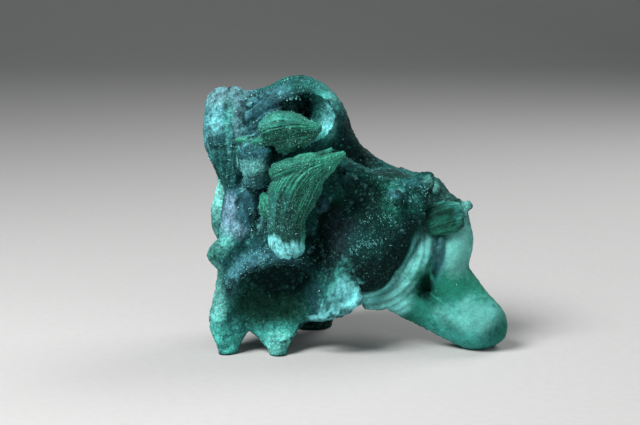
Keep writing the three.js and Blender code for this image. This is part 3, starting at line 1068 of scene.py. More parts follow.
@dataclass
class Drapery(GrownPart):
    """Folds that hang down the left side, and the pale layer behind them."""

    def features(self) -> list[Lump | Limb]:
        """Lists the layer behind, then the folds from left to right, then the bump."""
        return [
            Limb(((-21, 3, 31, 2.1), (-21.6, 3, 25, 2.1), (-20.9, 2, 18, 2.6)), 2.5),
            Limb(((-18.6, -1.5, 28.5, 1.9), (-19.6, -3.8, 23.5, 2.2), (-20.6, -5.4, 18, 2.6)), 0.5),
            Limb(((-15.6, -3, 28.5, 2.2), (-16.6, -5.2, 23.5, 2.3), (-18.6, -6.8, 18.4, 2.3)), 0.4),
            Limb(((-12.2, -3.4, 28, 2.6), (-13.2, -5.4, 22.5, 2.6), (-15.5, -7, 17.6, 2.4)), 0.4),
            Lump((-10.8, -7.6, 24), (2.2, 3, 4), 1),
            Lump((-21, -6.4, 16.4), (3.1, 3, 2.8), 0.6),
        ]

    def patches(self) -> list[Patch]:
        """Lists the pale strip at the left, blue folds, a violet spot and painted shade behind the fan."""
        return [
            Patch(Tone.SLATE, (-17, -5, 23), (5.5, 6, 7), 0.9),
            Patch(Tone.MINT, (-23, 2, 26), (2.2, 5, 7), 0.85),
            Patch(Tone.LAVENDER, (-20.6, -6, 23.2), (1.3, 3, 2.4), 0.6),
            Patch(Tone.LAVENDER, (-20.2, -7, 20), (2.4, 3, 1.5), 0.7),
            # painted shade on the fold behind the lower fan
            Patch(Tone.NIGHT, (-14.4, -8, 21), (3, 4, 5), 0.7),
            Patch(Tone.JADE, (-22.4, -8, 16.4), (3.2, 5, 3.6), 0.9),
            Patch(Tone.MINT, (-22.8, -8, 17.4), (2.8, 4, 2.2), 0.6, 0.6),
            Patch(Tone.GREEN, (-21.6, -9, 14.6), (2.6, 4, 2.6), 0.6),
        ]

    def dress(self, skin: Skin) -> None:
        """Tones the folds and draws their pleats, with painted shade and highlight on them.

        Args:
            skin: The skin of the mass.
        """
        super().dress(skin)
        zone = skin.patch((-18, -5, 24), (6, 6, 8), 0.3)
        pleats = skin.streaks(0.9, 6.0, 3.0)
        skin.push(0.14 * zone * pleats)
        # painted shade and highlight: darker in the pleats' grooves, lighter on their crests
        skin.scale_tone(1 + 0.6 * zone * pleats)


@dataclass
class Skirt(GrownPart):
    """The flaring skirt at the lower left: pointed feet and a cupped front."""

    bowl: Lump = Lump((-11.3, -14.8, 8.7), (11.4, 8, 7), 0.4, (0, -8, -3), scoop=True)
    depth: Lump = Lump((-12.4, -11, 11), (7.4, 5, 4), 0.8, (0, -8, 0), scoop=True)
    rim_radius: float = 1.3

    def features(self) -> list[Lump | Limb]:
        """Lists the body, the two feet, the rim and the hollows."""
        r = self.rim_radius
        return [
            Lump((-11.8, -4.8, 11), (11.2, 6, 7.6), 2, (0, -6, 0)),
            Lump((-20.4, -7.4, 6.2), (3.5, 2.8, 5.6), 1.5, (-14, 12, 0)),
            Limb(((-21, -8.6, 4.6, 2.6), (-20.7, -10.2, -0.3, 1.4)), 1.6),
            Lump((-13.6, -7.4, 6.2), (4.4, 3, 4.8), 1.5, (-14, 0, 0)),
            Lump((-13.8, -9.2, 3.9), (3.5, 2, 3), 1),
            Limb(((-13.2, -9.2, 3.2, 2.6), (-12.3, -10.5, -0.3, 1.4)), 1.4),
            Limb(
                ((-21.8, -8, 8.5, 0.9), (-20.4, -9.6, 12, r), (-15.6, -10.6, 15.4, r), (-9.4, -9.4, 17, r)),
                0.8,
            ),
            self.bowl,
            self.depth,
        ]

    def patches(self) -> list[Patch]:
        """Lists the worn blue rim, painted shade in the hollow, the brown floor and pale edges."""
        return [
            Patch(Tone.TEAL, (-12, -8, 9), (13, 7, 9), 0.9),
            Patch(Tone.SLATE, (-15, -11, 15), (7.5, 4, 3.4), 0.85),
            Patch(Tone.STEEL, (-16.5, -11.4, 15), (5.4, 4, 1.7), 0.8, 0.6, 0.4),
            Patch(Tone.STEEL, (-20.2, -10, 11.4), (1.4, 3, 2.6), 0.75, 0.5, 0.4),
            Patch(Tone.MOSS, (-14.4, -8, 8.4), (7, 4, 4.6), 0.95),
            # painted shade in the hollow of the cupped front
            Patch(Tone.PITCH, (-12, -7.4, 12), (6.4, 4, 3.4), 0.95),
            Patch(Tone.MINT, (-23, -9, 8), (1.6, 4, 6), 0.6),
            Patch(Tone.JADE, (-21.4, -10.4, 2.6), (3.4, 4, 3), 0.85),
            Patch(Tone.JADE, (-13, -11, 2.4), (4, 4, 3.2), 0.95),
            Patch(Tone.MINT, (-12.6, -11, 1.6), (2.4, 4, 2.2), 0.5),
        ]


@dataclass
class Nodule(GrownPart):
    """The dark round nodule in the middle, with the shadowed recess at its left."""

    ball: Lump = Lump((1.2, -2.8, 17), (8.2, 7.6, 9.2), 0.25, (0, 15, 0))
    recess: Lump = Lump((-7, -9, 22), (2, 4.5, 5.6), 0.6, scoop=True)

    def features(self) -> list[Lump | Limb]:
        """Lists the ball and the recess."""
        return [self.ball, self.recess]

    def patches(self) -> list[Patch]:
        """Lists nearly black velvet, a grey bloom on its left shoulder and painted shade at its sides."""
        return [
            Patch(Tone.NIGHT, (1, -8, 18), (8.6, 8, 9.4), 1.0, 0.14, 0.1),
            # painted shade at the nodule's left and right edges
            Patch(Tone.PITCH, (-5.5, -8, 15), (3, 5, 5), 0.8),
            Patch(Tone.PITCH, (6.6, -7, 15), (3, 5, 7), 0.6),
            Patch(Tone.DUSK, (-2.6, -9, 21), (3, 4, 4.8), 0.85, 0.5),
            Patch(Tone.TEAL, (2.2, -10, 18.6), (3.6, 4, 3), 0.5, 0.7, 0.5),
        ]


@dataclass
class Roll(GrownPart):
    """The smooth banded roll that curls round the right of the nodule."""

    band_mm: float = 1.45  # from one pale line to the next
    roll: Limb = Limb(
        (
            (12.4, -3.8, 20.4, 1.4),
            (12.0, -4.7, 17.4, 1.8),
            (10.9, -4.9, 14.4, 2.0),
            (9.1, -4.8, 11.4, 2.1),
            (7.0, -4.6, 9.0, 1.9),
            (4.8, -4.2, 7.6, 1.5),
            (2.6, -4, 7.4, 1.2),
        ),
        0.6,
    )

    def features(self) -> list[Lump | Limb]:
        """Lists the roll."""
        return [self.roll]

    def dress(self, skin: Skin) -> None:
        """Tones the roll pale, draws its concentric bands and brightens it with painted light.

        Args:
            skin: The skin of the mass.
        """
        front = step_up(-1.5, -3.5, skin.points[:, 1])
        lower = skin.patch((4.8, -5, 7.2), (5.2, 5, 2.4), 0.3, 0.15)
        zone = np.maximum(skin.near(self.roll, 0.9), lower) * front
        skin.paint(Tone.JADE, 0.9 * zone)
        skin.paint(Tone.MINT, zone * step_up(-1.2, -0.2, skin.clouds(2.4, 2, 14.0)))
        offset = skin.points - np.array([0.6, -2.4, 18.2])
        round_nodule = np.hypot(offset[:, 0] / 0.95, offset[:, 2])
        uneven = round_nodule + 0.12 * skin.wander + 0.5 * np.sin(0.5 * round_nodule)
        wave = np.sin(2 * math.pi * uneven / self.band_mm)
        fine = np.sin(2 * math.pi * uneven / (0.37 * self.band_mm))
        skin.paint(Tone.SLATE, zone * np.clip(-wave - 0.3, 0, 1) * 0.6)
        skin.paint(Tone.ICE, zone * np.clip(wave, 0, 1) * 0.5)
        skin.paint(Tone.STEEL, zone * np.clip(fine, 0, 1) * 0.3)
        # painted light: the roll made brighter, as it faces away from the lamps
        skin.scale_tone(1 + 0.35 * zone)
        skin.push(zone * (0.045 * wave + 0.02 * fine))


@dataclass
class Lip(GrownPart):
    """The leaf-like lip at the right of the skirt, with its crisp edge."""

    leaf: Lump = Lump((-4.2, -9.3, 10.6), (4.6, 1.5, 5.2), 1.2, (0, 8, -22))
    edge: Limb = Limb(
        (
            (-8, -10.2, 6.2, 0.8),
            (-4.4, -11.4, 6.9, 0.8),
            (-1, -11.8, 7.9, 0.8),
            (0.4, -11.4, 9.6, 0.8),
            (-0.8, -10.5, 12.2, 0.9),
            (-2.8, -9.2, 15, 0.9),
        ),
        0.9,
    )

    def features(self) -> list[Lump | Limb]:
        """Lists the leaf, its edge, the rib on it and the crease at its left."""
        rib = Limb(((-5.6, -9.6, 13.4, 0.5), (-5.4, -11, 10, 0.5), (-6.4, -11.4, 7, 0.4)), 0.8)
        crease = Limb(((-8.4, -11.4, 5.2, 0.5), (-8.3, -10.6, 9, 0.5)), 0.4, scoop=True)
        return [self.leaf, self.edge, rib, crease]

    def patches(self) -> list[Patch]:
        """Lists dark streaks at the left, pale cyan and painted highlight over the rest, a dark far edge."""
        return [
            Patch(Tone.TEAL, (-5, -11, 9.6), (4, 3.4, 4.4), 0.85, 0.3),
            Patch(Tone.SLATE, (-6.8, -11, 9), (1, 3, 4), 0.7, 0.5),
            Patch(Tone.JADE, (-2, -11.4, 10.4), (2.7, 3, 3.5), 0.8, 0.5, 0.6),
            # pale cyan, partly a painted highlight where the lip faces the light
            Patch(Tone.ICE, (-1.2, -11.8, 9.6), (2.6, 3, 3.1), 0.8, 0.5, 0.5),
            Patch(Tone.ICE, (-2.6, -12, 8), (4, 3, 1.3), 0.75, 0.4),
            Patch(Tone.ICE, (-5.6, -12, 6.6), (2, 3, 0.9), 0.7, 0.5),
        ]

    def dress(self, skin: Skin) -> None:
        """Tones the lip and streaks it from its upper end.

        Args:
            skin: The skin of the mass.
        """
        super().dress(skin)
        offset = skin.points - np.array([-3.4, -9, 17])
        turn = np.degrees(np.arctan2(offset[:, 0], -offset[:, 2])) + 4 * skin.wander
        streak = np.sin(2 * math.pi * turn / 9)
        zone = skin.patch((-3.4, -11.4, 10), (4.6, 3, 5), 0.3)
        skin.paint(Tone.SLATE, 0.5 * zone * np.clip(streak - 0.2, 0, 1))
        skin.push(0.06 * zone * streak)


@dataclass
class Horn(GrownPart):
    """The spur that points to the right, the crest behind it and the beads below it."""

    crest: Limb = Limb(
        ((-2.6, -4.6, 31, 1.5), (2.2, -6.4, 29.2, 1.3), (7, -7.6, 27.2, 1.2), (12, -8.8, 28.7, 1.1)),
        0.5,
    )
    bead_radius: float = 1.6

    def features(self) -> list[Lump | Limb]:
        """Lists the crest, its buttress, the face, the back crest and the beads."""
        r = self.bead_radius
        return [
            self.crest,
            Limb(((11.7, -8, 27.6, 1.2), (9.6, -6.8, 24, 2.1), (7.6, -6, 20, 2)), 1.2),
            Lump((4.6, -2.8, 24.6), (7.4, 4.6, 4.8), 1.2),
            Limb(((1.4, 1.4, 29.4, 1.8), (6, 1, 27.4, 1.7), (12, -0.2, 25.4, 1.6)), 1),
            Lump((-0.8, -7, 27.6), (r, r, r), 0.25),
            Lump((6.2, -9.5, 26.1), (1.5, 1.4, 1.4), 0.2),
            Lump((-6, -8.4, 24.6), (r, r, r), 0.25),
        ]

    def patches(self) -> list[Patch]:
        """Lists a teal face, a worn crest, dark velvet behind it and painted shade by the side block."""
        return [
            Patch(Tone.BOTTLE, (5, -6, 25.4), (9, 5, 4.6), 0.9, 0.3),
            Patch(Tone.NIGHT, (2, -6, 24.4), (4, 5, 3), 0.7),
            Patch(Tone.TEAL, (8.6, -8.5, 25), (3, 4, 4), 0.6),
            Patch(Tone.GREEN, (5.6, -8.5, 25), (1.6, 3, 2.4), 0.6, 0.6),
            Patch(Tone.STEEL, (10, -9, 28), (2.6, 3, 0.8), 0.3, 0.6),
            Patch(Tone.STEEL, (6.4, -10, 26.6), (1, 1.4, 0.9), 0.7, 0.5),
            Patch(Tone.NIGHT, (5, -2.6, 30), (7, 3, 3), 0.85, 0.3),
            Patch(Tone.NIGHT, (12.6, -7.4, 25.4), (1.6, 4, 3), 0.7),
            # painted shade where the buttress meets the side block
            Patch(Tone.PITCH, (9.6, -7, 21), (2.2, 3, 2.2), 0.85, 0.5),
            Patch(Tone.MINT, (12, -9.6, 28.6), (0.9, 1.6, 1), 0.5, 0.6),
            Patch(Tone.NIGHT, (-2, -7, 28.6), (3.6, 5, 2.4), 0.7),
            Patch(Tone.SLATE, (-6, -9.5, 24.6), (1.6, 2, 1.6), 0.8),
        ]


@dataclass
class Shoulder(GrownPart):
    """The shoulder at the right, with its two small pale points."""

    def features(self) -> list[Lump | Limb]:
        """Lists the shoulder and the points."""
        return [
            Lump((14.4, 0, 20.6), (4.8, 4.6, 4.2), 2),
            Limb(((12.8, 0.2, 23.2, 1.6), (13.6, -0.2, 25.4, 0.9)), 0.8),
            Limb(((15.5, -1, 21.8, 1.8), (19.3, -2, 23.1, 0.8)), 1),
        ]

    def patches(self) -> list[Patch]:
        """Lists bottle green, a stripe of painted shade above the side block, and mint points."""
        return [
            Patch(Tone.BOTTLE, (14.5, -2, 21.5), (5, 6, 4.6), 0.9),
            # painted shade in the gap above the side block
            Patch(Tone.NIGHT, (15, -2.6, 24.2), (2.6, 3, 0.9), 0.7, 0.5),
            Patch(Tone.MINT, (13.5, -0.4, 26.2), (1.2, 2.4, 0.9), 0.8),
            Patch(Tone.MINT, (19.2, -2, 23.2), (1.5, 2.4, 1.2), 0.95),
        ]


@dataclass
class Foot(GrownPart):
    """The smooth column at the right that runs down into the finger-like foot."""

    column: Limb = Limb(
        (
            (16.4, -2, 22, 2.6),
            (16.2, -3.4, 17.5, 3.2),
            (15.7, -4.3, 12.4, 3.3),
            (17.9, -5, 8.2, 3.9),
            (20.8, -5.6, 4, 4.6),
        ),
        0.6,
    )
    limb: Limb = Limb(((4, -1, 10, 2.4), (8, -2.6, 7.8, 3), (13, -4, 5.8, 3.3), (19, -5.2, 4.2, 4.2)), 0.6)
    tongue: Limb = Limb(
        ((12.2, -6.6, 8.8, 0.7), (13.6, -7.4, 7.2, 1.1), (15.6, -7.8, 5.6, 1.5), (18.4, -7.6, 5, 2)), 0.7
    )
    fold: Limb = Limb(((13.9, -6.4, 19, 0.6), (13.9, -7, 16, 0.6), (13.2, -7, 13, 0.5)), 0.3)
    crease: Limb = Limb(
        ((13.3, -7.4, 19.6, 0.4), (13.2, -7.8, 16.6, 0.5), (12.5, -7.8, 13.8, 0.6), (11.8, -7.6, 11.6, 0.7)),
        0.3,
        scoop=True,
    )
    pit: Limb = Limb(((11.8, -7.4, 11.4, 0.9), (11.6, -6, 10, 1), (11.6, -5.4, 8.8, 0.7)), 0.4, scoop=True)

    def features(self) -> list[Lump | Limb]:
        """Lists the column, the lower limb, the web between them and what marks them."""
        web = Lump((11.5, 0.5, 12), (4.5, 4, 5), 1)
        return [self.column, self.limb, web, self.tongue, self.fold, self.crease, self.pit]

    def patches(self) -> list[Patch]:
        """Lists green, jade and mint over toe and column, painted highlights and painted shade."""
        return [
            Patch(Tone.GREEN, (17, -5, 10), (8, 6, 7), 0.95, 0.3),
            Patch(Tone.GREEN, (12.4, -4, 5), (4.2, 6, 3.2), 0.9, 0.3),
            Patch(Tone.MINT, (16.8, -6, 17.4), (3, 6, 4.6), 0.85, 0.4),
            Patch(Tone.STEEL, (14, -7, 16.4), (1, 3, 4), 0.7, 0.4),
            Patch(Tone.JADE, (18, -8, 5), (7, 5, 4), 0.6, 0.5),
            # painted highlight on the top of the toe
            Patch(Tone.MINT, (19.8, -8, 6), (4.6, 5, 2.6), 0.6, 0.5, 0.5),
            # painted highlight on the lit ridge of the tongue
            Patch(Tone.MINT, (14.4, -8.6, 6.2), (2.2, 3, 1.4), 0.35, 0.5),
            # painted light: the shaded underside of the toe painted lighter
            Patch(Tone.JADE, (17, -5, 1.4), (8, 6, 2.4), 0.8),
            Patch(Tone.GREEN, (24.4, -5, 4), (1.8, 6, 4), 0.6, 0.6),
            # painted shade in the pit and down the crease
            Patch(Tone.PITCH, (11.7, -6.4, 10.2), (1.2, 3, 2), 0.95),
            Patch(Tone.SLATE, (13.1, -7.6, 15.4), (0.5, 2, 4.4), 0.7),
        ]


@dataclass
class MalachiteMass:
    """The one grown mass: all its parts run together, roughened and dressed."""

    step_mm: float = 0.24
    quick_step_mm: float = 0.42
    low: Triple = (-28.5, -17, -3)
    high: Triple = (28.5, 17, 47)
    knob_mm: float = 1.35  # size of the botryoidal knobs
    knob_height_mm: float = 0.24
    tuft_mm: float = 0.62  # size of the tufts of grit on them
    grit_height_mm: float = 0.13
    parts: tuple[GrownPart, ...] = field(
        default_factory=lambda: (
            Bulk(),
            Collar(),
            Hood(),
            Brow(),
            Folds(),
            Drapery(),
            Skirt(),
            Nodule(),
            Roll(),
            Lip(),
            Horn(),
            Shoulder(),
            Foot(),
            Back(),
        )
    )

    def grow(self) -> Skin:
        """Runs the parts together and meshes them.

        Returns:
            The smooth skin of the mass.
        """
        step = self.step_mm
        rock = GrownField(self.low, self.high, step)
        for part in self.parts:
            part.grow(rock)
        rock.flatten_base()
        return Skin(*rock.surface())

    def calm(self, skin: Skin) -> Array:
        """Marks where the surface is smooth.

        Args:
            skin: The skin of the mass.

        Returns:
            1 on the foot, its column and the banded roll, falling to 0 elsewhere.
        """
        marks = [
            skin.patch((17.5, -5, 12), (6, 8, 10), 0.3),
            skin.patch((20, -5, 6), (7, 8, 7), 0.3),
            skin.patch((9, -5, 8), (8, 7, 4), 0.3),
            skin.patch((11, -6, 13.6), (3.6, 5, 7), 0.25),
        ]
        return np.max(marks, axis=0)

    def roughen(self, skin: Skin) -> None:
        """Raises knobs, wrinkles and grit from the smooth surface.

        Args:
            skin: The skin of the mass.
        """
        rough = (1 - 0.85 * self.calm(skin)) * (1 - 0.6 * skin.patch((-14, -6, 39), (5, 6, 4), 0.3))
        standing = step_up(0.0, 0.8, skin.points[:, 2])
        swell = skin.clouds(4.2, 2, 1.0)
        patches = step_up(-0.25, 0.35, skin.clouds(5.0, 2, 3.0))
        knobs = skin.cobbles(self.knob_mm, 1.0) * (0.35 + 0.65 * patches)
        skin.push(standing * (0.35 * swell * rough + self.knob_height_mm * knobs * rough))
        fine = skin.clouds(0.9, 3, 7.0)
        tufts = skin.cobbles(self.tuft_mm, 4.0)
        height = 0.1 * fine + self.grit_height_mm * tufts
        skin.push(standing * height * (0.3 + 0.7 * rough))

    def dress(self, skin: Skin) -> None:
        """Tones every part, then wears the edges pale and darkens the creases with painted shade.

        Args:
            skin: The skin of the mass.
        """
        skin.paint(Tone.TEAL, 1.0)
        for part in self.parts:
            part.dress(skin)
        calm = self.calm(skin)
        broad = skin.convexity(20)
        sharp = skin.convexity(3)
        worn = step_up(0.1, 0.4, broad + 0.14 * skin.clouds(1.3, 3, 2.0))
        shy = np.maximum(calm, skin.patch((-13, -7.4, 9), (8, 4, 6), 0.3))
        skin.paint(Tone.STEEL, 0.5 * worn * (1 - calm))
        skin.paint(Tone.MINT, 0.35 * step_up(0.03, 0.1, sharp) * (1 - 0.8 * shy))
        # painted shade: creases darkened nearly to black, over the darker velvet in them
        skin.paint(Tone.PITCH, 0.9 * step_up(0.04, 0.35, -broad))
        skin.scale_tone(1 + 0.5 * skin.clouds(3.4, 3, 4.0) * (1 - 0.5 * calm))
        crisp = skin.patch((-3, -11.4, 9), (4.4, 3, 4.6), 0.3)
        skin.grains = 1 - np.maximum(0.72 * calm, 0.5 * crisp)
        skin.glints = (0.2 + 0.8 * step_up(-0.1, 0.4, skin.clouds(3.0, 2, 6.0))) * (1 - 0.85 * shy)

    def build(self) -> tuple[Skin, Array]:
        """Grows, roughens and dresses the mass.

        Returns:
            Its skin, and what moves the maker's frame into the CAD frame, in mm.
        """
        skin = self.grow()
        low, high = (np.array(corner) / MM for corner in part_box("malachite_mass"))
        middle = (low + high) / 2 - (skin.points.min(0) + skin.points.max(0)) / 2
        shift = np.array([middle[0], middle[1], 0.0])
        self.roughen(skin)
        self.dress(skin)
        return skin, shift


# ------------------------------------------------------------------ crystals


@dataclass(frozen=True)
class Lobe:
    """One lobe of a crystal: a bent line through (x, y, z, half across, half deep)."""

    spine: tuple[tuple[float, ...], ...]
    fibres: int = 42  # bundles of fibres round the lobe
    ridge_mm: float = 0.11  # height of a bundle
    squareness: float = 2.3
    ragged_mm: float = 0.0  # how unevenly the fibres end

    def sections(self, steps: int = 26) -> tuple[Array, Array, Array, Array]:
        """Places the sections along the line.

        Args:
            steps: Sections in each span of the line.

        Returns:
            Their centres and half sizes, and the directions across and deep.
        """
        line = bent_line(self.spine, steps)
        centres, sizes = line[:, :3], np.maximum(line[:, 3:], 0.05)
        run = np.gradient(centres, axis=0)
        run /= np.linalg.norm(run, axis=1)[:, None]
        wide = np.cross(run, [0.0, 1.0, 0.0])
        wide /= np.linalg.norm(wide, axis=1)[:, None]
        return centres, sizes, wide, np.cross(wide, run)

    def loft(self, around: int = 120) -> tuple[Array, Array]:
        """Draws the lobe's smooth skin.

        Args:
            around: Points round each section.

        Returns:
            The points and the three-cornered faces.
        """
        centres, sizes, wide, deep = self.sections()
        angles = np.linspace(0, 2 * math.pi, around, endpoint=False)
        power = 2 / self.squareness
        u = np.sign(np.cos(angles)) * np.abs(np.cos(angles)) ** power
        v = np.sign(np.sin(angles)) * np.abs(np.sin(angles)) ** power
        rings = (
            centres[:, None]
            + (sizes[:, :1] * u)[:, :, None] * wide[:, None]
            + (sizes[:, 1:] * v)[:, :, None] * deep[:, None]
        )
        ring = np.arange(around)
        after = (ring + 1) % around
        first = around * np.arange(len(centres) - 1)[:, None]
        low, low_after = (first + ring).ravel(), (first + after).ravel()
        faces = [
            np.column_stack([low, low_after, low_after + around]),
            np.column_stack([low, low_after + around, low + around]),
        ]
        total = len(centres) * around
        last = total - around
        faces.append(np.column_stack([np.full(around, total), after, ring]))
        faces.append(np.column_stack([np.full(around, total + 1), last + ring, last + after]))
        points = np.vstack([rings.reshape(-1, 3), centres[:1], centres[-1:]])
        return points, np.vstack(faces)

    def locate(self, points: Array) -> tuple[Array, Array, Array, Array]:
        """Finds where points lie in the lobe.

        Args:
            points: The points.

        Returns:
            For each its share of the length, its angle, how far out it is with 1 on the
            skin, and the half width of the lobe there in mm.
        """
        centres, sizes, wide, deep = self.sections()
        near = np.argmin(((points[:, None] - centres[None]) ** 2).sum(2), axis=1)
        offset = points - centres[near]
        u = (offset * wide[near]).sum(1) / sizes[near, 0]
        v = (offset * deep[near]).sum(1) / sizes[near, 1]
        out = (np.abs(u) ** self.squareness + np.abs(v) ** self.squareness) ** (1 / self.squareness)
        return near / (len(centres) - 1), np.arctan2(v, u), out, sizes[near].min(1)


@dataclass
class FibrousCrystal:
    """A crystal of silky malachite: its lobes run into one ribbed body."""

    name: str
    node: str
    slot: str
    finish: SilkyMalachite
    lobes: tuple[Lobe, ...]
    voxel_mm: float = 0.12
    full_relief_mm: float = 1.8  # half width from which fibres stand at full height
    root: Tone = Tone.GREEN
    middle: Tone = Tone.GREEN
    end: Tone = Tone.GREEN
    # the paler tone of the fibres' crests, partly a painted highlight
    crest: Tone = Tone.JADE
    spots: tuple[Patch, ...] = ()
    felt: tuple[Patch, ...] = ()  # where velvet grows over the fibres
    contrast: float = 1.0  # how strongly painted highlight on crests and painted shade in grooves show
    breaks_and_highlights: tuple[Patch, ...] = ()  # pale broken ends and painted edge highlights, laid over the fibres' own tones
    chips: int = 0  # broken fibre ends that stand on it
    fleck: float = 1.0  # how thickly painted glints lie on it as pale flecks

    def build(self, shift: Array) -> tuple[bpy.types.Object, Skin]:
        """Makes the crystal's object and dresses it.

        Args:
            shift: What moves the maker's frame into the CAD frame, in mm.

        Returns:
            The new object and its skin.
        """
        skin = self.join()
        share, angle, rib, lobe = self.comb(skin)
        self.dress(skin, share, rib)
        made = skin.make_object(self.name, shift)
        self.draw_run(made, share, angle, lobe)
        made.data.materials.append(self.finish.material())
        return made, skin

    def join(self) -> Skin:
        """Runs the smooth lobes into one surface.

        Returns:
            The crystal's smooth skin.
        """
        points, faces = [], []
        start = 0
        for lobe in self.lobes:
            lobe_points, lobe_faces = lobe.loft()
            points.append(lobe_points)
            faces.append(lobe_faces + start)
            start += len(lobe_points)
        voxel = self.voxel_mm * 1.0
        grid = openvdb.FloatGrid.createLevelSetFromPolygons(
            np.vstack(points).astype(np.float32),
            triangles=np.vstack(faces).astype(np.uint32),
            transform=openvdb.createLinearTransform(voxelSize=voxel),
            halfWidth=3.0,
        )
        found, _, quads = grid.convertToPolygons(0.0, 0.0)
        return Skin(np.array(found), np.array(quads)[:, ::-1])

    def comb(self, skin: Skin) -> tuple[Array, Array, Array, Array]:
        """Raises the fibres on the skin.

        Args:
            skin: The crystal's smooth skin.

        Returns:
            For each point its share of the length, its angle, its height on a fibre from
            -1 to 1, and the number of its lobe.
        """
        found = [lobe.locate(skin.points) for lobe in self.lobes]
        lobe_of = np.argmin([out for _, _, out, _ in found], axis=0)
        pick = np.arange(len(skin.points))
        share, angle, _, half = (
            np.array([facts[k] for facts in found])[lobe_of, pick] for k in range(4)
        )
        count = np.array([lobe.fibres for lobe in self.lobes])[lobe_of]
        height = np.array([lobe.ridge_mm for lobe in self.lobes])[lobe_of]
        ragged = np.array([lobe.ragged_mm for lobe in self.lobes])[lobe_of]
        places = np.column_stack([1.6 * np.cos(angle), 1.6 * np.sin(angle), 1.1 * share + lobe_of])
        drift = np.array([noise.noise(place) for place in places])
        turns = angle / (2 * math.pi) * count + 1.6 * drift
        broken = skin.clouds(1.5, 3, 9.0)
        rib = (2 * np.abs(np.sin(math.pi * turns)) - 1) * np.clip(0.75 + 0.8 * broken, 0, 1)
        thread = 2 * np.abs(np.sin(math.pi * (2.37 * turns + 0.3))) - 1
        cracks = step_up(0.25, 0.6, np.sin(1.9 * np.floor(turns) + 3.0 * lobe_of))
        bare = 1 - np.max([np.zeros(len(pick))] + [self.mark(skin, spot) for spot in self.felt], axis=0)
        fade = np.minimum(1, half / self.full_relief_mm) * bare
        grit = skin.clouds(0.6, 3, 4.0)
        skin.push(fade * height * (rib + 0.6 * thread - 0.8 * cracks * (rib < 0)))
        skin.push((0.07 + 0.1 * (1 - bare)) * grit + 0.12 * broken)
        uneven = 0.5 + 0.5 * np.sin(2.3 * np.floor(turns / 3) + 1.3) + 0.15 * rib
        skin.points[:, 2] += ragged * np.clip(uneven, 0, 1.2) * step_up(0.82, 1.0, share)
        return share, angle, rib * fade, lobe_of

    @staticmethod
    def mark(skin: Skin, spot: Patch) -> Array:
        """Marks a patch of the crystal, scaled by its strength."""
        return spot.strength * skin.patch(spot.centre, spot.radii, spot.soft, spot.ragged)

    def dress(self, skin: Skin, share: Array, rib: Array) -> None:
        """Tones the crystal from root to end, with painted highlight on crests and shade in grooves.

        Args:
            skin: The crystal's skin.
            share: How far along its lobe each point is.
            rib: How high on a fibre each point is, from -1 to 1.
        """
        skin.paint(self.root, 1.0)
        skin.paint(self.middle, step_up(0.1, 0.45, share))
        skin.paint(self.end, step_up(0.6, 0.95, share))
        for spot in (*self.felt, *self.spots):
            skin.paint(spot.tone, self.mark(skin, spot))
        # painted highlight on the fibres' crests and painted shade in their grooves
        skin.paint(self.crest, 0.6 * self.contrast * step_up(0.0, 0.8, rib))
        skin.paint(Tone.PITCH, 0.8 * self.contrast * step_up(-0.2, -0.8, rib))
        for spot in self.breaks_and_highlights:
            skin.paint(spot.tone, self.mark(skin, spot))
        skin.scale_tone(1 + 0.3 * skin.clouds(1.6, 3, 8.0))
        flecked = 0.25 + 0.75 * step_up(-0.1, 0.4, skin.clouds(2.2, 2, 6.0))
        skin.glints = self.fleck * flecked

    def draw_run(self, made: bpy.types.Object, share: Array, angle: Array, lobe: Array) -> None:
        """Stores where each point lies along and round the fibres, in mm, for streaks.

        Args:
            made: The crystal's object.
            share: How far along its lobe each point is.
            angle: Its angle round the lobe.
            lobe: The number of its lobe.
        """
        girth = 2.2
        length = 14.0
        squeeze = 0.1  # streaks are about ten times as long as they are wide
        where = np.column_stack(
            [girth * np.cos(angle), girth * np.sin(angle), length * squeeze * share + 9 * lobe]
        )
        run = made.data.attributes.new("run", "FLOAT_VECTOR", "POINT")
        run.data.foreach_set("vector", where.ravel())


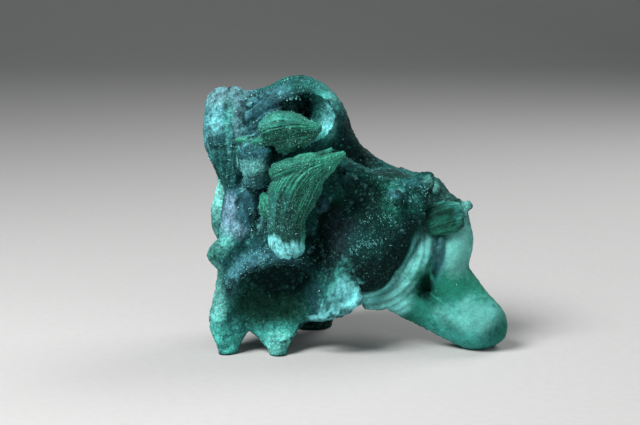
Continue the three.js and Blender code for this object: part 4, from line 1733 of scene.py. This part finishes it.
@dataclass
class DruseDust:
    """Tiny bare malachite needles that stand on a skin and catch the light."""

    name: str = "druse_needles"
    count: int = 2400
    radius_mm: tuple[float, float] = (0.04, 0.1)
    length_mm: tuple[float, float] = (0.2, 0.6)
    stray: float = 0.015  # the share that stands outside the beds
    seed: int = 11
    beds: tuple[Bed, ...] = (
        Bed((1.8, -10, 18.6), (3.2, 4, 2.8), 0.8, 0.5, 0.7),
        Bed((1.2, -10, 18.2), (2.6, 4, 0.9), 1.0, 0.6, 0.7),
        Bed((2.4, -10, 22), (2, 4, 1.6), 0.25, 0.6, 0.7),
        Bed((9.6, -8, 25.4), (3.2, 4, 2.6), 0.6, 0.5, 0.5),
        Bed((5.8, -9, 24), (2, 3, 3), 0.7, 0.5, 0.5),
        Bed((-21, -6, 36), (4, 6, 7), 0.3),
        Bed((-17.4, -11, 30), (2, 4, 2), 0.9),
        Bed((-16, -12, 14.6), (6, 5, 2.4), 0.6),
        Bed((-9, -2, 42), (7, 6, 3), 0.25),
        Bed((-17, -8, 24), (4, 5, 6), 0.3),
        Bed((0, 10, 26), (22, 6, 18), 0.12),
    )
    lean: float = 0.8  # how far needles lean from upright
    root_mm: float = 0.08  # how deep they are rooted
    bare_mm: float = 2.0  # none stand lower than this

    def build(self, skin: Skin, shift: Array) -> bpy.types.Object:
        """Stands the needles on a skin.

        Args:
            skin: The skin that they stand on.
            shift: What moves the maker's frame into the CAD frame, in mm.

        Returns:
            The new object.
        """
        dice = np.random.default_rng(self.seed)
        odds = self.stray + sum(
            bed.share * skin.patch(bed.centre, bed.radii, bed.soft, bed.ragged) for bed in self.beds
        )
        odds *= 0.1 + step_up(0.0, 0.5, skin.clouds(1.4, 3, 12.0))
        odds *= skin.points[:, 2] > self.bare_mm
        chosen = dice.choice(len(odds), self.count, replace=False, p=odds / odds.sum())
        roots = skin.points[chosen]
        up = skin.normals()[chosen] + self.lean * dice.normal(size=(self.count, 3))
        up /= np.linalg.norm(up, axis=1)[:, None]
        side = np.cross(up, dice.normal(size=(self.count, 3)))
        side /= np.linalg.norm(side, axis=1)[:, None]
        across = np.cross(up, side)
        radius = dice.uniform(*self.radius_mm, self.count)[:, None]
        length = dice.uniform(*self.length_mm, self.count)[:, None]
        base = roots - self.root_mm * up
        reach = [radius * side, radius * across]
        corners = [base + reach[0], base + reach[1], base - reach[0], base - reach[1]]
        points = np.stack([*corners, roots + length * up], axis=1).reshape(-1, 3)
        shape = [(0, 1, 4), (1, 2, 4), (2, 3, 4), (3, 0, 4), (3, 2, 1, 0)]
        starts = range(0, len(points), len(corners) + 1)
        faces = [tuple(start + k for k in face) for start in starts for face in shape]
        mesh = new_mesh(self.name, ((points + shift) * MM).tolist(), faces)
        mesh.materials.append(DruseCrystal().material())
        return new_object(self.name, mesh)


def upper_fan() -> FibrousCrystal:
    """Describes the fan at the mouth of the hood: two lobes and a bright stem."""
    return FibrousCrystal(
        name="upper_fan_fibres",
        chips=420,
        node="upper_crystal_fan",
        slot="fibrous_malachite",
        finish=SilkyMalachite(),
        lobes=(
            Lobe(
                (
                    (-5.4, -11.9, 37.57, 0.35, 0.35),
                    (-7.6, -11.7, 37.57, 1.2, 1.1),
                    (-10, -10.9, 37.57, 2.1, 2),
                    (-12.6, -10.1, 37.27, 2.55, 2.5),
                    (-14.4, -9.5, 36.67, 1.7, 1.9),
                    (-15, -9.2, 36.27, 0.6, 0.8),
                )
            ),
            Lobe(
                (
                    (-5.6, -11.8, 37.27, 0.3, 0.3),
                    (-7.8, -11.3, 36.07, 1.2, 1.2),
                    (-10, -10.7, 35.27, 1.5, 1.6),
                    (-11.8, -10.1, 34.77, 1.5, 1.6),
                    (-12.9, -9.7, 34.57, 0.7, 0.8),
                ),
                fibres=30,
            ),
            Lobe(
                (
                    (-19.3, -6.8, 34.93, 0.35, 0.5),
                    (-16.6, -7.9, 34.97, 0.75, 0.9),
                    (-13.6, -9.5, 35.57, 1.1, 1.6),
                    (-11.6, -10.1, 35.87, 1, 1.6),
                ),
                fibres=12,
                ridge_mm=0.08,
            ),
        ),
        root=Tone.GREEN,
        middle=Tone.BOTTLE,
        end=Tone.TEAL,
        crest=Tone.GREEN,
        spots=(
            Patch(Tone.JADE, (-12.4, -11, 38.8), (2.6, 4, 1.6), 0.45, 0.5, 0.4),
            Patch(Tone.MOSS, (-9.6, -12, 35.4), (4, 4, 2.4), 0.9, 0.4),
        ),
        breaks_and_highlights=(Patch(Tone.LEAF, (-16.8, -8, 35), (3, 3, 1.4), 0.95, 0.4),),
    )


def lower_fan() -> FibrousCrystal:
    """Describes the larger fan, its dark velvety finger and its pale broken end."""
    return FibrousCrystal(
        name="lower_fan_fibres",
        chips=520,
        node="lower_crystal_fan",
        slot="fibrous_malachite",
        finish=SilkyMalachite(),
        lobes=(
            Lobe(
                (
                    (-1.8, -11.8, 33.5, 0.3, 0.4),
                    (-4.6, -12.15, 31.81, 1.7, 1.3),
                    (-7.6, -12.02, 30.26, 3.3, 2.3),
                    (-9.9, -11.68, 27.08, 3.9, 3),
                    (-11.1, -11.4, 22.73, 3, 3.1),
                    (-11, -11.4, 19.33, 2.8, 2.9),
                    (-10.3, -11.48, 17.11, 2.2, 2.3),
                    (-10.1, -11.53, 16.3, 1.2, 1.2),
                ),
                fibres=56,
                squareness=2.4,
                ragged_mm=1.1,
            ),
            Lobe(
                (
                    (-11.8, -11.8, 22.6, 0.8, 1.2),
                    (-12.5, -12, 20.4, 1.3, 1.8),
                    (-12.7, -12, 18.8, 1.3, 1.7),
                    (-12.6, -12, 18.1, 0.7, 0.9),
                ),
                fibres=16,
                squareness=2.8,
            ),
            Lobe(
                (
                    (-3.7, -12.2, 34.2, 0.25, 0.3),
                    (-5.4, -12.2, 33.3, 0.6, 0.7),
                    (-7.6, -12.1, 32.2, 0.9, 1.2),
                ),
                fibres=14,
            ),
            Lobe(
                (
                    (-3.4, -12, 32.25, 0.5, 0.6),
                    (-6.2, -12.01, 31.69, 1.1, 1.5),
                    (-9.4, -12.04, 31.15, 1.5, 2.2),
                    (-12, -11.9, 30.13, 1.8, 2),
                    (-13.2, -11.6, 29.43, 1.2, 1.2),
                ),
                fibres=40,
                squareness=2.4,
            ),
            Lobe(
                (
                    (-15, -8.6, 26.2, 0.5, 0.7),
                    (-13.6, -9.6, 24.4, 2.2, 1.1),
                    (-11, -10.6, 23, 2.6, 1.6),
                ),
                fibres=18,
                ridge_mm=0.1,
            ),
        ),
        root=Tone.LEAF,
        middle=Tone.BOTTLE,
        end=Tone.BOTTLE,
        crest=Tone.LEAF,
        felt=(
            Patch(Tone.TEAL, (-12, -13, 22.6), (2.8, 4, 5.4), 0.85, 0.3),
            Patch(Tone.NIGHT, (-11, -14, 21.8), (2, 3, 3.8), 0.7, 0.6),
        ),
        spots=(
            Patch(Tone.GREEN, (-9.4, -12, 30.4), (5, 5, 2.6), 0.5),
            Patch(Tone.GREEN, (-14.4, -9, 24.6), (1.4, 3, 3), 0.6),
            Patch(Tone.BOTTLE, (-7.2, -13, 26), (2.2, 3, 5), 0.7),
        ),
        breaks_and_highlights=(
            Patch(Tone.ICE, (-12.9, -12, 18.9), (1.5, 5, 1.5), 1.0, 0.25, 0.25),
            Patch(Tone.ICE, (-10.2, -12, 17.4), (3, 5, 1.8), 1.0, 0.25, 0.3),
            Patch(Tone.JADE, (-7.8, -12, 18.6), (1.2, 5, 2.2), 0.6, 0.5),
        ),
    )


def side_block() -> FibrousCrystal:
    """Describes the small block of straight fibres at the right shoulder."""
    return FibrousCrystal(
        name="side_block_fibres",
        node="side_crystal_block",
        slot="dark_fibrous_malachite",
        finish=SilkyMalachite(name="dark_silky_malachite", grain_mm=0.6, roughness=0.42),
        fleck=0.1,
        contrast=0.4,
        lobes=(
            Lobe(
                (
                    (12.3, -5.3, 21.2, 2.1, 1.6),
                    (13.4, -5.6, 21.5, 2.45, 1.95),
                    (14.8, -5.7, 21.8, 2.5, 2),
                    (16.1, -5.5, 22.1, 2.4, 1.95),
                    (17.1, -5.1, 22.3, 2.1, 1.6),
                ),
                fibres=44,
                ridge_mm=0.07,
                squareness=4.5,
            ),
        ),
        root=Tone.BOTTLE,
        middle=Tone.BOTTLE,
        end=Tone.BOTTLE,
        crest=Tone.GREEN,
        spots=(
            Patch(Tone.PITCH, (12.2, -7, 21), (1.6, 3, 3), 0.5, 0.6),
            Patch(Tone.GREEN, (14.6, -7, 20.4), (2.4, 3, 1.6), 0.5, 0.6),
        ),
        # painted highlights on the block's right end and top edge
        breaks_and_highlights=(
            Patch(Tone.JADE, (17, -7, 23), (0.7, 3, 1.8), 0.7, 0.5),
            Patch(Tone.JADE, (15, -7, 24.3), (2.4, 3, 0.5), 0.5, 0.6),
        ),
    )


# ------------------------------------------------------------------ studio


@dataclass
class Studio:
    """A pale floor, soft light from above and a camera a little above the specimen."""

    lens_mm: float = 100.0
    distance_m: float = 0.2905
    elevation_deg: float = 10.0
    aim_mm: Triple = (-5.9, -5.9, 22.93)  # from the middle of the base

    def build(self) -> None:
        """Makes the floor, the lights, the surroundings and the camera."""
        self.lay_floor()
        self.light("key_light", (-0.17, -0.14, 0.28), 0.16, 1.75)
        self.light("rim_light", (0.20, 0.16, 0.24), 0.20, 0.6)
        self.light("fill_light", (0.20, -0.30, 0.16), 0.30, 0.2)
        self.surround("#c9ccd0", 0.2)
        bpy.context.scene.view_settings.view_transform = "Standard"
        self.place_camera()

    def lay_floor(self) -> None:
        """Lays a sheet of paper that curves up behind the specimen."""
        half_width, front, bend, radius, top, steps = 1.2, -0.9, 0.5, 0.4, 1.2, 12
        profile = [(front, 0.0), (bend, 0.0)]
        for step in range(1, steps + 1):
            angle = math.radians(90 * step / steps)
            profile.append((bend + radius * math.sin(angle), radius * (1 - math.cos(angle))))
        profile.append((bend + radius, top))
        points = [(x, y, z) for y, z in profile for x in (-half_width, half_width)]
        faces = [(2 * i, 2 * i + 1, 2 * i + 3, 2 * i + 2) for i in range(len(profile) - 1)]
        mesh = new_mesh("floor_paper", points, faces)
        mesh.polygons.foreach_set("use_smooth", np.ones(len(faces), bool))
        mesh.materials.append(StudioPaper().material())
        floor = new_object("floor_paper", mesh)
        floor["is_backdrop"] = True

    def light(self, name: str, place: Triple, size: float, power: float) -> None:
        """Hangs a square soft light that faces the specimen.

        Args:
            name: The light's name.
            place: Where it hangs, in metres.
            size: The length of its side in metres.
            power: Its power in watts.
        """
        lamp = bpy.data.lights.new(name, "AREA")
        lamp.energy = power
        lamp.size = size
        made = new_object(name, lamp)
        made.location = place
        aim = Vector((0, 0, 0.02)) - Vector(place)
        made.rotation_euler = aim.to_track_quat("-Z", "Y").to_euler()

    def surround(self, colour: str, strength: float) -> None:
        """Fills the room with even light of a colour and a strength."""
        world = bpy.data.worlds.new("studio_room")
        world.use_nodes = True
        backdrop = world.node_tree.nodes["Background"]
        backdrop.inputs["Color"].default_value = (*linear(colour), 1)
        backdrop.inputs["Strength"].default_value = strength
        bpy.context.scene.world = world

    def place_camera(self) -> None:
        """Stands the camera in front, looking slightly down."""
        tilt = math.radians(self.elevation_deg)
        forward = Vector((0, math.cos(tilt), -math.sin(tilt)))
        low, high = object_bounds()
        base = Vector(((low.x + high.x) / 2, (low.y + high.y) / 2, low.z))
        lens = bpy.data.cameras.new("camera")
        lens.lens = self.lens_mm
        lens.clip_start = 0.01
        made = new_object("camera", lens)
        made.location = base + Vector(self.aim_mm) * MM - forward * self.distance_m
        made.rotation_euler = forward.to_track_quat("-Z", "Y").to_euler()
        bpy.context.scene.camera = made


def main() -> None:
    """Builds each piece round the CAD model, then the studio."""
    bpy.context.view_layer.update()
    Studio().build()
    skin, shift = MalachiteMass().build()
    rock = skin.make_object("malachite_surface", shift)
    rock.data.materials.append(VelvetMalachite().material())
    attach(rock, "root")
    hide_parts("malachite_mass")
    LOG.info("malachite_surface: %d faces", len(rock.data.polygons))
    dusts = [(DruseDust(), skin)]
    for crystal in (upper_fan(), lower_fan(), side_block()):
        made, crystal_skin = crystal.build(shift)
        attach(made, "root")
        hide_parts(crystal.node)
        LOG.info("%s: %d faces", made.name, len(made.data.polygons))
        if crystal.chips:
            chips = DruseDust(
                name=crystal.name + "_chips",
                count=crystal.chips,
                radius_mm=(0.03, 0.07),
                length_mm=(0.2, 0.45),
                stray=0.3,
                beds=(),
            )
            dusts.append((chips, crystal_skin))
    for dust, ground in dusts:
        needles = dust.build(ground, shift)
        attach(needles, "root")
        LOG.info("%s: %d faces", needles.name, len(needles.data.polygons))


if __name__ == "__main__":
    logging.basicConfig(level=logging.INFO, format="%(name)s: %(message)s")
    main()
